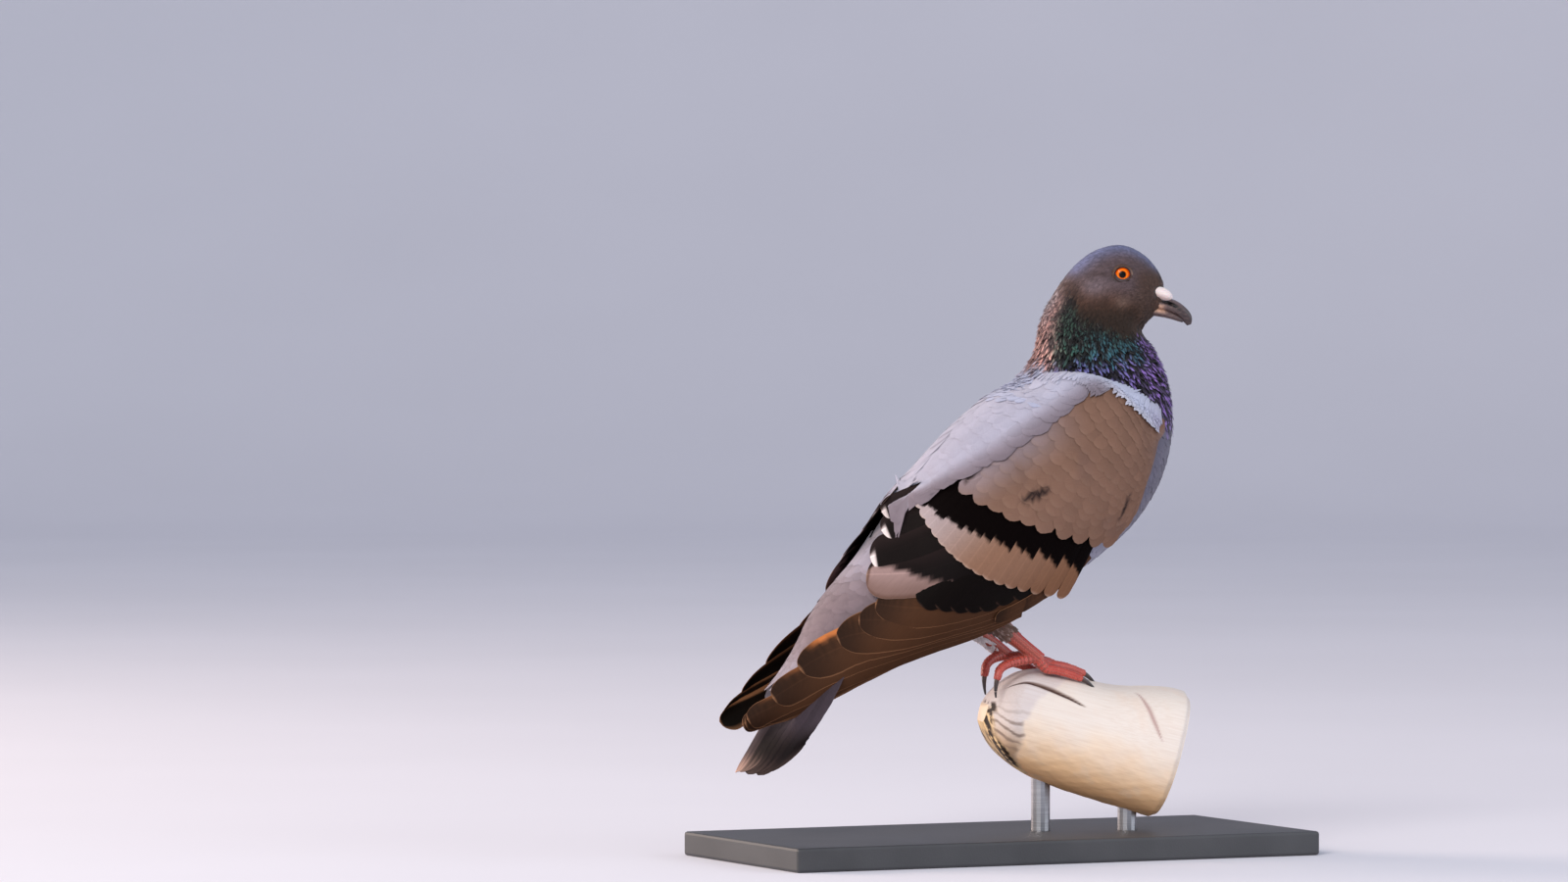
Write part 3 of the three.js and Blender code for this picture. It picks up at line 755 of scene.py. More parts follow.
        # A blade that a fold of the sheet has torn apart is left out.
        reach = np.linalg.norm(points - points[:, :1, :1], axis=-1).max((1, 2))
        sound = reach < 1.5 * length + 2.5 * half.max(1)
        points, place_x, place_y = points[sound], place_x[sound], place_y[sound]
        length, half, x, y = length[sound], half[sound], x[sound], y[sound]
        seeds = random.random((2, len(x), 1, 1))
        rest = (x[:, :1, None], y[:, :1, None], stations[:, None], across, *seeds)
        filled = (np.broadcast_to(part, points.shape[:3]) for part in rest)
        spot = Spot(place_x, place_y, *filled, points)
        vane = np.stack([
            length[:, None, None] * spot.along, half[:, :, None] * across, spot.seed * 9,
        ], -1)
        bake = np.stack([
            self.map_place(spot.root_x, 0) + (spot.along - 0.5) * self.patch,
            self.map_place(spot.root_y, 1) + (spot.across + 0.15 * face) * self.patch / 2,
        ], -1)
        stock.rings(points, self.paint(spot), vane, bake)

    def map_place(self, values: Array, axis: int) -> Array:
        """A root's place on the texture's map, from the sheet's own parameters."""
        low, high = MAP_RANGE[type(self.sheet)][axis]
        place = (values - low) / (high - low)
        return (place + self.cell[0]) / self.cell[1] if axis else place

    def sample(self, roots: tuple, along: float = 0.5, every: int = 1) -> tuple[Array, Array]:
        """Reads the coat's own paint, for the skin, which carries the same markings.

        Args:
            roots: both parameters of each root.
            along: where on the feather it is read, as a share of the length.
            every: one feather is taken in so many.

        Returns:
            Places and colours, one row for each feather.
        """
        x, y = (part[::every, None, None] for part in roots)
        half = np.full_like(x, 0.5)
        place = self.sheet.point(x, y)
        spot = Spot(x, y, x, y, 2 * along * half, 0 * half, half, half, place)
        return place.reshape(-1, 3), self.paint(spot).reshape(-1, 3)

# The range of both parameters of each sheet that carries a coat.
MAP_RANGE = {
    BodySheet: ((-0.6, 18.0), (-0.1, 1.1)),
    WingSheet: ((-1.0, 9.0), (-0.3, 1.2)),
    MantleSheet: ((-0.5, 8.5), (-0.3, 1.3)),
    TailSheet: ((-0.2, 1.1), (-1.2, 1.2)),
    TubeSheet: ((-0.5, 7.5), (-0.4, 1.1)),
}


@dataclass
class Vane:
    """One flight feather: the path of its shaft on a sheet, and its width and height.

    The path is a quadratic curve in the sheet's parameters. The outline is a power of the
    distance from either end, so the tip is round.
    """

    root: tuple
    bend: tuple
    tip: tuple
    half: float
    height: float
    paint: Paint
    narrow: float = 0.8
    round: float = 0.5
    sink: float = 0.0


@dataclass
class Fan:
    """Large feathers built one by one on a sheet, as thin closed blades with fine outlines."""

    sheet: Sheet
    thickness: float = 0.26
    camber: float = 0.035
    wear: float = 0.02
    stations: int = 46
    seed: int = 5

    @staticmethod
    def ring() -> Array:
        """Places across for the ring: close together at the rims, fewer below."""
        rim = (0.045, 0.2, 0.4, 0.6, 0.8, 0.94, 0.985)
        upper = (*(-b for b in rim[::-1]), 0, *rim)
        lower = (0.7, 0.25, -0.25, -0.7)
        return np.array([(-1, 0), *((b, 1) for b in upper), (1, 0), *((b, -1) for b in lower)], float)

    def build(self, vanes: list[Vane], stock: Stock) -> None:
        """Adds every feather of the fan.

        Args:
            vanes: the feathers.
            stock: where they are gathered.
        """
        random = np.random.default_rng(self.seed)
        step = np.linspace(0, 1, self.stations)
        run = 1 - (1 - step) ** 1.35
        back, middle, ahead = ((1 - run) ** 2)[:, None], (2 * run * (1 - run))[:, None], (run**2)[:, None]
        for vane in vanes:
            root, bend, tip = (np.array(part, float) for part in (vane.root, vane.bend, vane.tip))
            path = root * back + bend * middle + tip * ahead
            x, y = path[None, :, 0], path[None, :, 1]
            place = self.sheet.point(x, y)
            length = np.linalg.norm(np.diff(place, axis=1), axis=-1).sum(1)
            left = (1 - run) * length[0]
            rounding = np.clip(left / (vane.half * 2 * vane.round + 0.01), 0, 1)
            half = vane.half * mix(vane.narrow, 1, smooth(0, 0.7, run)) * np.sqrt(1 - (1 - rounding) ** 2.0)
            half = half * (1 + self.wear * ripple(place[0], 7.0, vane.tip[0] * 3)) + 0.12
            rise = vane.height - vane.sink * (1 - run) ** 2
            coat = Coat(self.sheet, Grain.BROAD, vane.paint, 0, thickness=self.thickness, camber=self.camber)
            coat.blade(stock, x, y, half[None], rise[None], self.ring(), run, length, random)


# ---- Finishes


class Nodes:
    """A material being wired: one surface shader and the nodes that feed it."""

    def __init__(self, name: str) -> None:
        """Starts a material with a bare surface shader.

        Args:
            name: the material's name.
        """
        self.material = bpy.data.materials.new(name)
        self.material.use_nodes = True
        self.tree = self.material.node_tree
        self.shader = self.tree.nodes["Principled BSDF"]

    def add(self, kind: str, settings: dict | None = None, **sockets: object) -> bpy.types.Node:
        """Adds a node.

        Args:
            kind: the node's type without its ShaderNode prefix.
            settings: its properties.
            sockets: values or sockets for its inputs, by name or as i0, i1 and so on.

        Returns:
            The node.
        """
        node = self.tree.nodes.new("ShaderNode" + kind)
        for key, value in (settings or {}).items():
            setattr(node, key, value)
        for key, value in sockets.items():
            number = key[1:]
            self.feed(node.inputs[int(number) if key[0] == "i" and number.isdigit() else key], value)
        return node

    def feed(self, socket: Socket, value: object) -> None:
        """Links a socket to an input, or sets the input's value."""
        if isinstance(value, Socket):
            self.tree.links.new(value, socket)
        else:
            socket.default_value = value

    @property
    def tint(self) -> Socket:
        """The mesh's own paint."""
        return self.add("Attribute", {"attribute_name": "Tint"}).outputs["Color"]

    @property
    def vane(self) -> Socket:
        """Length along, width across and number of a feather."""
        return self.add("Attribute", {"attribute_name": "Vane"}).outputs["Vector"]

    @property
    def place(self) -> Socket:
        """Places in the object's own frame, in metres."""
        return self.add("TexCoord").outputs["Object"]

    def math(self, operation: str, *values: object) -> Socket:
        """A Math node's result."""
        sockets = {f"i{n}": value for n, value in enumerate(values)}
        return self.add("Math", {"operation": operation}, **sockets).outputs[0]

    def noise(self, vector: Socket, scale: float, detail: float = 3.0) -> Socket:
        """A Noise node's factor."""
        return self.add("TexNoise", Vector=vector, Scale=scale, Detail=detail).outputs[0]

    def stretched(self, vector: Socket, times: tuple) -> Socket:
        """A vector times three numbers."""
        return self.add("VectorMath", {"operation": "MULTIPLY"}, i0=vector, i1=times).outputs[0]

    def between(self, value: Socket, low: float, high: float) -> Socket:
        """Takes 0 to 1 to low to high."""
        return self.add("MapRange", Value=value, i3=low, i4=high).outputs[0]

    def blend(self, share: object, first: object, second: object, kind: str = "MIX") -> Socket:
        """A colour mix."""
        node = self.add("Mix", {"data_type": "RGBA", "blend_type": kind}, i0=share, i6=first, i7=second)
        return node.outputs[2]

    def shaded(self, colour: object, shade: Socket) -> Socket:
        """A colour times a shade."""
        return self.blend(1.0, colour, shade, "MULTIPLY")

    def ramp(self, value: Socket, *stops: tuple) -> Socket:
        """A colour ramp through stops of place and grey or colour."""
        node = self.add("ValToRGB", Fac=value)
        for element, (place, colour) in zip(node.color_ramp.elements, stops, strict=True):
            element.position = place
            element.color = (colour, colour, colour, 1) if isinstance(colour, float) else linear(colour)
        return node.outputs[0]

    def bump(self, height: Socket, strength: float, distance: float) -> None:
        """Gives the shader a bump of a height, in metres."""
        node = self.add("Bump", Height=height, Strength=strength, Distance=distance)
        self.feed(self.shader.inputs["Normal"], node.outputs[0])

    def surface(self, colour: object, roughness: object, **constants: object) -> Material:
        """Sets the shader's inputs.

        Args:
            colour: base colour.
            roughness: roughness.
            constants: other sockets by name, with _ for a space.

        Returns:
            The material.
        """
        for key, value in {"Base_Color": colour, "Roughness": roughness, **constants}.items():
            self.feed(self.shader.inputs[key.replace("_", " ")], value)
        return self.material


@dataclass(frozen=True)
class FeatherFinish:
    """Barbs: fine slanting lines on either side of the shaft, streaks between them, soft gloss."""

    name: str
    pitch: float
    contrast: float
    streak: float
    shaft: float = 0.0
    roughness: float = 0.7
    sheen: float = 0.0
    specular: float = 0.3
    relief: float = 0.00006

    def make(self) -> Material:
        """Builds the material. The barbs' phase is the distance along less the distance across."""
        n = Nodes(self.name)
        x, y, z = n.add("SeparateXYZ", i0=n.vane).outputs
        out = n.math("ABSOLUTE", y)
        phase = n.math("SUBTRACT", x, n.math("MULTIPLY", out, 0.9))
        wave = n.math("SINE", n.math("MULTIPLY", phase, ALONG / self.pitch))
        along, beside = n.math("MULTIPLY", phase, 1.3), n.math("MULTIPLY", out, 0.22)
        streaks = n.noise(n.add("CombineXYZ", i0=along, i1=beside, i2=z).outputs[0], 1.1)
        bright = n.math("ADD", n.math("MULTIPLY", wave, self.contrast / 2), 1.0)
        for pattern, strength in ((streaks, self.streak * 2), (n.noise(n.place, 60.0), 0.2)):
            bright = n.math("ADD", bright, n.math("MULTIPLY", n.math("SUBTRACT", pattern, 0.5), strength))
        if self.shaft:
            bright = n.math("ADD", bright, n.math("MULTIPLY", n.math("LESS_THAN", out, 0.32), self.shaft))
        grey = n.add("CombineXYZ", i0=bright, i1=bright, i2=bright).outputs[0]
        n.bump(n.math("ADD", wave, n.math("MULTIPLY", streaks, 2.0)), 0.35, self.relief)
        return n.surface(
            n.shaded(n.tint, grey), self.roughness,
            Sheen_Weight=self.sheen, Sheen_Roughness=0.5, Specular_IOR_Level=self.specular,
        )


@dataclass(frozen=True)
class GrainedFinish:
    """Skin, horn or eye: the mesh's own paint, darkened and roughened by one fine grain."""

    name: str
    scale: float
    detail: float
    dark: tuple
    clear: float
    roughness: float
    relief: tuple = (0.35, 0.00014)
    pores: tuple = ()
    uneven: bool = False
    sockets: dict = field(default_factory=dict)

    def make(self) -> Material:
        """Builds the material. The grain is its own relief, unless there are separate pores."""
        n = Nodes(self.name)
        place = n.place
        grain = n.noise(place, self.scale, self.detail)
        shade = n.ramp(grain, self.dark, (self.clear, 1.0))
        rough = self.roughness
        if self.uneven:
            rough = n.between(grain, rough - 0.08, rough + 0.14)
        if self.relief:
            n.bump(n.noise(place, *self.pores) if self.pores else grain, *self.relief)
        return n.surface(n.shaded(n.tint, shade), rough, **self.sockets)


@dataclass(frozen=True)
class WoodFinish:
    """Peeled, sun-bleached branch: long grain, faint stains and pores."""

    name: str

    def make(self) -> Material:
        """Builds the material: the tint under grain stretched along the branch, on its Vane places."""
        n = Nodes(self.name)
        grain = n.noise(n.stretched(n.vane, (0.04, 1.6, 1.6)), 1.1, 5.0)
        place = n.place
        stain = n.ramp(n.noise(place, 45.0, 4.0), (0.56, 0.0), (0.76, 0.18))
        clean = n.shaded(n.tint, n.ramp(grain, (0.3, (247, 243, 240)), (0.6, (255, 255, 255))))
        n.bump(n.math("ADD", grain, n.noise(place, 700.0, 3.0)), 0.1, 0.0002)
        colour = n.blend(stain, clean, linear((214, 182, 156)))
        return n.surface(colour, n.between(grain, 0.5, 0.72), Specular_IOR_Level=0.35)


@dataclass(frozen=True)
class StandFinish:
    """Painted or drawn metal: two greys and two roughnesses, mixed by one noise."""

    name: str
    stretch: tuple
    detail: float
    dark: tuple
    pale: tuple
    rough: tuple
    relief: tuple
    peel: float = 0.0
    metal: float = 0.0

    def make(self) -> Material:
        """Builds the material. The relief is the noise itself, or else a finer orange peel."""
        n = Nodes(self.name)
        place = n.place
        dust = n.noise(n.stretched(place, self.stretch), 1.0, self.detail)
        colour = n.ramp(dust, self.dark, self.pale)
        n.bump(n.noise(place, self.peel) if self.peel else dust, *self.relief)
        return n.surface(colour, n.between(dust, *self.rough), Metallic=self.metal)


@dataclass(frozen=True)
class StudioFinish:
    """Floor and wall: plain pale paint."""

    name: str
    colour: tuple = (224, 221, 229)

    def make(self) -> Material:
        """Builds the material: one pale colour, barely mottled."""
        n = Nodes(self.name)
        soft = n.ramp(n.noise(n.place, 3.0, 2.0), (0.3, 0.97), (0.7, 1.0))
        return n.surface(n.shaded(linear(self.colour), soft), 0.9)


class Finishes:
    """Every finish, made once."""

    def __init__(self) -> None:
        """Makes the materials."""
        feather, grained, stand = FeatherFinish, GrainedFinish, StandFinish
        self.down = feather("short_feathers", 0.4, 0.05, 0.1, sheen=0.1, specular=0.15).make()
        self.hackle = feather("neck_hackles", 0.4, 0.1, 0.2, roughness=0.4).make()
        self.contour = feather("body_feathers", 0.5, 0.04, 0.08, sheen=0.15, specular=0.18).make()
        self.covert = feather("wing_coverts", 0.55, 0.05, 0.1, roughness=0.72, specular=0.1).make()
        self.flight = feather("flight_feathers", 0.62, 0.1, 0.14, 0.2, 0.6, specular=0.06).make()
        self.bars = feather("barred_coverts", 0.6, 0.06, 0.12, 0.1, 0.75, specular=0.03).make()
        moist = {"Subsurface_Weight": 0.12, "Subsurface_Scale": 0.0012, "Coat_Weight": 0.08}
        powder = {"Subsurface_Weight": 0.15, "Subsurface_Scale": 0.001, "Sheen_Weight": 0.3}
        wet = {"Coat_Weight": 0.14, "Coat_Roughness": 0.03, "Specular_IOR_Level": 0.1}
        self.flesh = grained(
            "flesh", 900.0, 4.0, (0.3, 0.72), 0.7, 0.8, (0.3, 0.00012), (1500.0, 2.0),
            sockets={"Sheen_Weight": 0.15},
        ).make()
        self.horn = grained(
            "bill_horn", 1400.0, 5.0, (0.32, 0.74), 0.66, 0.42, uneven=True,
            sockets={"Coat_Weight": 0.15, "Coat_Roughness": 0.3},
        ).make()
        self.claw = grained(
            "claw_horn", 900.0, 5.0, (0.32, 0.74), 0.66, 0.3, uneven=True,
            sockets={"Coat_Weight": 0.4, "Coat_Roughness": 0.3},
        ).make()
        self.cere = grained(
            "cere_powder", 2600.0, 4.0, (0.3, 0.8), 0.6, 0.86, (0.5, 0.0002), sockets=powder
        ).make()
        self.lid = grained("eyelid_skin", 1800.0, 4.0, (0.3, 0.75), 0.65, 0.6, sockets=moist).make()
        self.leg = grained("leg_scales", 1800.0, 4.0, (0.3, 0.75), 0.65, 0.46, sockets=moist).make()
        self.eye = grained("eye_wet", 2400.0, 5.0, (0.35, 0.72), 0.62, 0.3, (), sockets=wet).make()
        self.wood = WoodFinish("bleached_wood").make()
        self.paint = stand(
            "stand_charcoal", (24.0, 24.0, 24.0), 4.0, (0.35, (52, 52, 55)), (0.7, (66, 66, 69)),
            (0.42, 0.6), (0.3, 0.00018), peel=1600.0,
        ).make()
        self.steel = stand(
            "stand_rods", (60.0, 60.0, 4200.0), 3.0, (0.3, (150, 150, 154)), (0.7, (186, 186, 190)),
            (0.26, 0.42), (0.12, 0.00005), metal=1.0,
        ).make()
        self.studio = StudioFinish("studio_pale").make()


# ---- Head, neck and body


@dataclass
class Plumage:
    """The short feathers of head, neck, breast, belly and rump."""

    finishes: Finishes
    sheet: BodySheet = field(default_factory=BodySheet)
    eye: tuple = (54.05, 245.0)
    bare: float = 3.8
    samples: list = field(default_factory=list)

    def head_view(self, x: Array, y: Array) -> tuple[Array, Array, Array]:
        """Side view of the unturned head: forward and up, and the share round from the top."""
        straight, _ = self.sheet.straight(x, y)
        return straight[..., 0], straight[..., 2], from_top(y)

    def open_face(self, x: Array, y: Array) -> Array:
        """0 round the eyes, where the skin is bare, and 1 elsewhere."""
        forward, up, _ = self.head_view(x, y)
        ahead = forward - self.eye[0]
        away = np.hypot(np.where(ahead > 0, ahead / 1.55, ahead), up - self.eye[1])
        cere = 1 - smooth(67.6, 68.2, forward) * smooth(233.8, 234.6, up) * smooth(240.6, 239.8, up)
        return smooth(self.bare - 0.5, self.bare + 0.3, away) * cere

    def head_paint(self, s: Spot) -> Array:
        """Slate above and brown-grey at the sides, with a pale ear and a dark line behind the eye."""
        forward, up, turn = self.head_view(s.x, s.y)
        line = bell(up, 245.2 - 0.03 * (forward - 44) ** 2, 0.9)
        return painted(
            s.place, (80, 66, 69),
            ((104, 107, 140), smooth(0.3, 0.08, turn)),
            ((68, 45, 35), smooth(243, 232, up + 0.35 * (forward - 50))),
            ((40, 28, 21), smooth(236, 226, up)),
            ((71, 50, 40), smooth(57, 64, forward) * smooth(249, 243, up) * 0.8),
            ((112, 98, 104), 0.8 * bell(forward, 42, 7) * bell(up, 240, 4.5)),
            ((64, 50, 50), 0.7 * line * bell(forward, 45, 6)),
            ((124, 104, 94), 0.5 * bell(forward, 54, 3.2) * bell(up, 233.5, 2.4)),
            ((70, 54, 48), 0.5 * bell(forward, 60, 5) * bell(up, 236, 3.5)),
        )

    def neck_paint(self, s: Spot) -> Array:
        """Green at the side, violet below and in front, and painted warm rim light at the back of the neck,
        over near black.
        """
        _, up, turn = self.head_view(s.root_x, s.root_y)
        level = up + 3.2 * (s.seed - 0.5) + 2.0 * ripple(s.place, 16, 2)
        green = painted(
            s.place, (38, 76, 70), ((46, 98, 124), smooth(228, 214, level)), ((70, 92, 84), s.other * 0.4)
        )
        low = painted(s.place, (62, 50, 46))
        low = mix(low, green, smooth(232, 224, level)[..., None])
        low = tone(low, (58, 88, 74), smooth(0.5, 0.3, turn) * smooth(242, 232, level) * 0.9)
        violet = painted(s.place, (104, 100, 158), ((128, 96, 166), smooth(0.45, 0.75, turn)))
        front = smooth(0.7, 0.8, turn) * smooth(229, 220, level)
        low = mix(low, violet, np.maximum(smooth(215, 209, level), front)[..., None])
        # Painted light: the coppery pink at the back of the neck, with its lighter dark bases and brighter
        # tips, stands for warm rim light from behind.
        painted_nape_light = smooth(0.3, 0.15, turn) * smooth(203, 209, level)
        low = tone(low, (214, 160, 150), painted_nape_light * smooth(246, 234, level))
        low = tone(low, (186, 172, 176), smooth(0.2, 0.08, turn) * smooth(226, 234, level))
        shine = smooth(0.35, 0.85, s.along) * (1 - 0.65 * s.across**2)
        shine = shine * mix(mix(0.05, 0.5, painted_nape_light), 1.3, smooth(0.15, 0.95, s.other))
        shine = shine * mix(0.7, 1.0, smooth(228, 216, level))
        base = painted(s.place, (15, 12, 14), ((84, 66, 68), painted_nape_light * 0.8))
        return base + (low - base) * np.clip(shine, 0, 1.1)[..., None]

    def body_paint(self, s: Spot) -> Array:
        """Pale blue-grey, darker at the breast, browner and scalloped on the rump, where the scallops are
        partly the feathers' own contrast and partly painted shade.
        """
        turn = from_top(s.y)
        rump = smooth(12.5, 13.5, s.root_x) * smooth(0.6, 0.4, turn)
        band = smooth(13, 14.5, s.root_x) * smooth(17.4, 15.5, s.root_x)
        body = painted(
            s.place, (150, 152, 174),
            ((88, 83, 97), smooth(0.34, 0.5, turn) * smooth(13, 11, s.root_x) * 0.9),
            ((176, 178, 200), smooth(0.4, 0.25, turn) * smooth(11, 8, s.root_x)),
            ((134, 122, 128), smooth(11.5, 14.5, s.root_x) * 0.8),
            ((108, 93, 97), smooth(0.5, 0.2, turn) * band),
            ((104, 100, 110), smooth(15.4, 17.2, s.root_x) * smooth(0.5, 0.8, turn)),
        )
        # Partly painted shade: darker towards each feather's root, where the feathers over it would shade it,
        # and lighter at its tip, most on the rump.
        return body * mix(mix(0.94, 0.74, rump), mix(1.03, 1.12, rump), smooth(0, 0.9, s.along))[..., None]

    def colours(self, s: Spot) -> Array:
        """Paint of the whole loft: head, neck and body, by each feather's root."""
        _, up, turn = self.head_view(s.root_x, s.root_y)
        edge = mix(mix(210.0, 204.0, smooth(0.15, 0.35, turn)), 186.0, smooth(0.5, 0.85, turn))
        edge = edge + 5 * (s.seed - 0.5) + 2 * ripple(s.place, 12, 5)
        is_body = smooth(3.5, -3.5, up - edge)
        sooner = 2.7 * smooth(0.62, 0.88, turn) + 1.1 * smooth(0.42, 0.25, turn)
        sooner = sooner + 0.4 * smooth(0.3, 0.5, turn) * smooth(0.75, 0.6, turn)
        is_neck = smooth(6.0, 7.0, s.root_x + 0.35 * (s.seed - 0.5) + sooner)
        colour = mix(self.head_paint(s), self.neck_paint(s), is_neck[..., None])
        colour = mix(colour, self.body_paint(s), is_body[..., None])
        streaky = mix(0.11, 0.04, np.maximum(is_neck, is_body))
        return colour * (1 + streaky * (2 * s.other - 1))[..., None]

    def head(self) -> None:
        """Head and face: smallest at the bill, longer over the crown."""
        stock = Stock()
        coat = Coat(self.sheet, Grain.FINE, self.colours, 0.3, 0.03, 0.04, 0.06, scatter=0.07, seed=11)
        roots = coat.sow((-0.1, 6.9), (0, 1), graded(0.62, 0.92, 0.5, 5.5), self.open_face)
        grown = smooth(0.3, 6.0, roots[0])
        coat.lay(stock, roots, 0.0, mix(1.8, 4.8, grown), mix(0.4, 0.78, grown))
        self.samples.append(coat.sample(roots, 0.7, 3))
        mount(stock.mesh("head_feathers", self.finishes.down), "head_feathers")

    def neck(self) -> None:
        """Hackles: narrow, glossy at the tip, loose. They begin farther up in front."""
        stock = Stock()
        coat = Coat(
            self.sheet, Grain.HACKLE, self.colours, 1.1, 0.25, 0.08, 0.3, 0.3,
            scatter=0.24, ragged=0.14, seed=12,
        )
        roots = coat.sow(
            (4.1, 9.1), (0, 1), graded(1.1, 1.5, 6.5, 9.2),
            lambda x, y: smooth(6.0, 6.2, x + 1.9 * smooth(0.72, 0.9, from_top(y))),
        )
        grown = smooth(6.0, 9.4, roots[0])
        coat.lay(stock, roots, 0.0, mix(4.4, 7.6, grown), mix(0.6, 1.0, grown))
        self.samples.append(coat.sample(roots, 0.7, 3))
        mount(stock.mesh("neck_feathers", self.finishes.hackle), "neck_feathers")

    @staticmethod
    def bare_of_wing(x: Array, y: Array) -> Array:
        """0 where wings and shoulders cover the back and sides, and 1 elsewhere."""
        side = smooth(0.62, 0.55, from_top(y) + 0.1 * smooth(11, 13.5, x))
        return 1 - side * smooth(9.2, 9.6, x) * smooth(13.6, 13.0, x)

    def body(self) -> None:
        """Breast, belly, flanks and rump."""
        stock = Stock()
        coat = Coat(self.sheet, Grain.BROAD, self.colours, 0.55, 0.1, 0.06, 0.03, scatter=0.05, seed=13)
        roots = coat.sow((8.7, 17.3), (0, 1), graded(3.0, 4.2, 9, 14), self.bare_of_wing)
        grown = smooth(8.5, 14.0, roots[0])
        coat.lay(stock, roots, 0.0, mix(10.0, 17.0, grown), mix(3.6, 5.4, grown))
        self.samples.append(coat.sample(roots, 0.7, 3))
        mount(stock.mesh("body_feathers", self.finishes.contour), "body_feathers")


@dataclass
class Shoulders:
    """Mantle and shoulder feathers, which lie over the upper wing and fringe the wing's front."""

    finishes: Finishes
    samples: list = field(default_factory=list)

    def colours(self, s: Spot) -> Array:
        """Pale lilac-grey, with a painted highlight along the collar's ridge and painted shade along the
        lower edge over the wing, warmer towards the wing.
        """
        colour = painted(
            s.place, (163, 160, 176),
            # Painted highlight along the collar's ridge.
            ((184, 190, 214), bell(s.root_x, 1.0, 1.4) * 0.8),
            # Painted shade along the mantle's lower edge, where it lies over the wing.
            ((108, 96, 104), smooth(0.66, 1.05, s.y) * smooth(1.5, 2.9, s.x) * 0.95),
            ((192, 190, 203), smooth(0.78, 0.98, s.y) * smooth(2.7, 1.9, s.x) * 0.85),
            ((140, 132, 160), smooth(0.9, -0.4, s.x) * smooth(0.4, 0.8, s.y) * 0.5),
            ((136, 122, 132), smooth(0.75, 1.0, s.along) * smooth(4, 7, s.root_x) * 0.35),
        )
        return colour * (mix(0.95, 1.03, smooth(0, 0.8, s.along)) * mix(0.975, 1.025, s.other))[..., None]

    def build(self) -> None:
        """Both shoulders, each with a fringe of narrow feathers over the wing's front."""
        for side, name in SIDES:
            stock = Stock()
            sheet = MantleSheet(side)
            coat = Coat(
                sheet, Grain.BROAD, self.colours, 0.5, 0.15, 0.06, 0.02, scatter=0.04, ragged=0.06, seed=21
            )
            roots = coat.sow((0.6, 7.3), (0.0, 1.0), graded(2.3, 3.9, 0.5, 5))
            heading = mix(13.0, 66.0, smooth(3.4, 0.6, roots[0]))
            grown = smooth(0.5, 6, roots[0])
            length = mix(10.0, 21.0, grown)
            tips = coat.tips(roots, heading, length)
            keep = (tips[1] < 0.97) & (tips[0] < 7.2)
            chosen = (roots[0][keep], roots[1][keep])
            coat.lay(stock, chosen, heading[keep], length[keep], mix(2.7, 5.6, grown)[keep])
            fringe = Coat(
                sheet, Grain.HACKLE, self.colours, 0.6, 0.3, 0.06, 0.05, scatter=0.06, ragged=0.08, seed=22
            )
            edge = fringe.sow((-0.5, 2.6), (0.04, 0.98), graded(1.05, 1.05, 0, 1))
            turn = mix(16.0, 72.0, smooth(3.2, 0.6, edge[0]))
            keep = fringe.tips(edge, turn, 6.1)[1] < 1.05
            fringe.lay(stock, (edge[0][keep], edge[1][keep]), turn[keep], 7.6, 0.85)
            mount(stock.mesh(f"shoulder_{name}_feathers", self.finishes.contour), "body_feathers")
            self.samples.append(coat.sample(chosen))


# ---- Wings


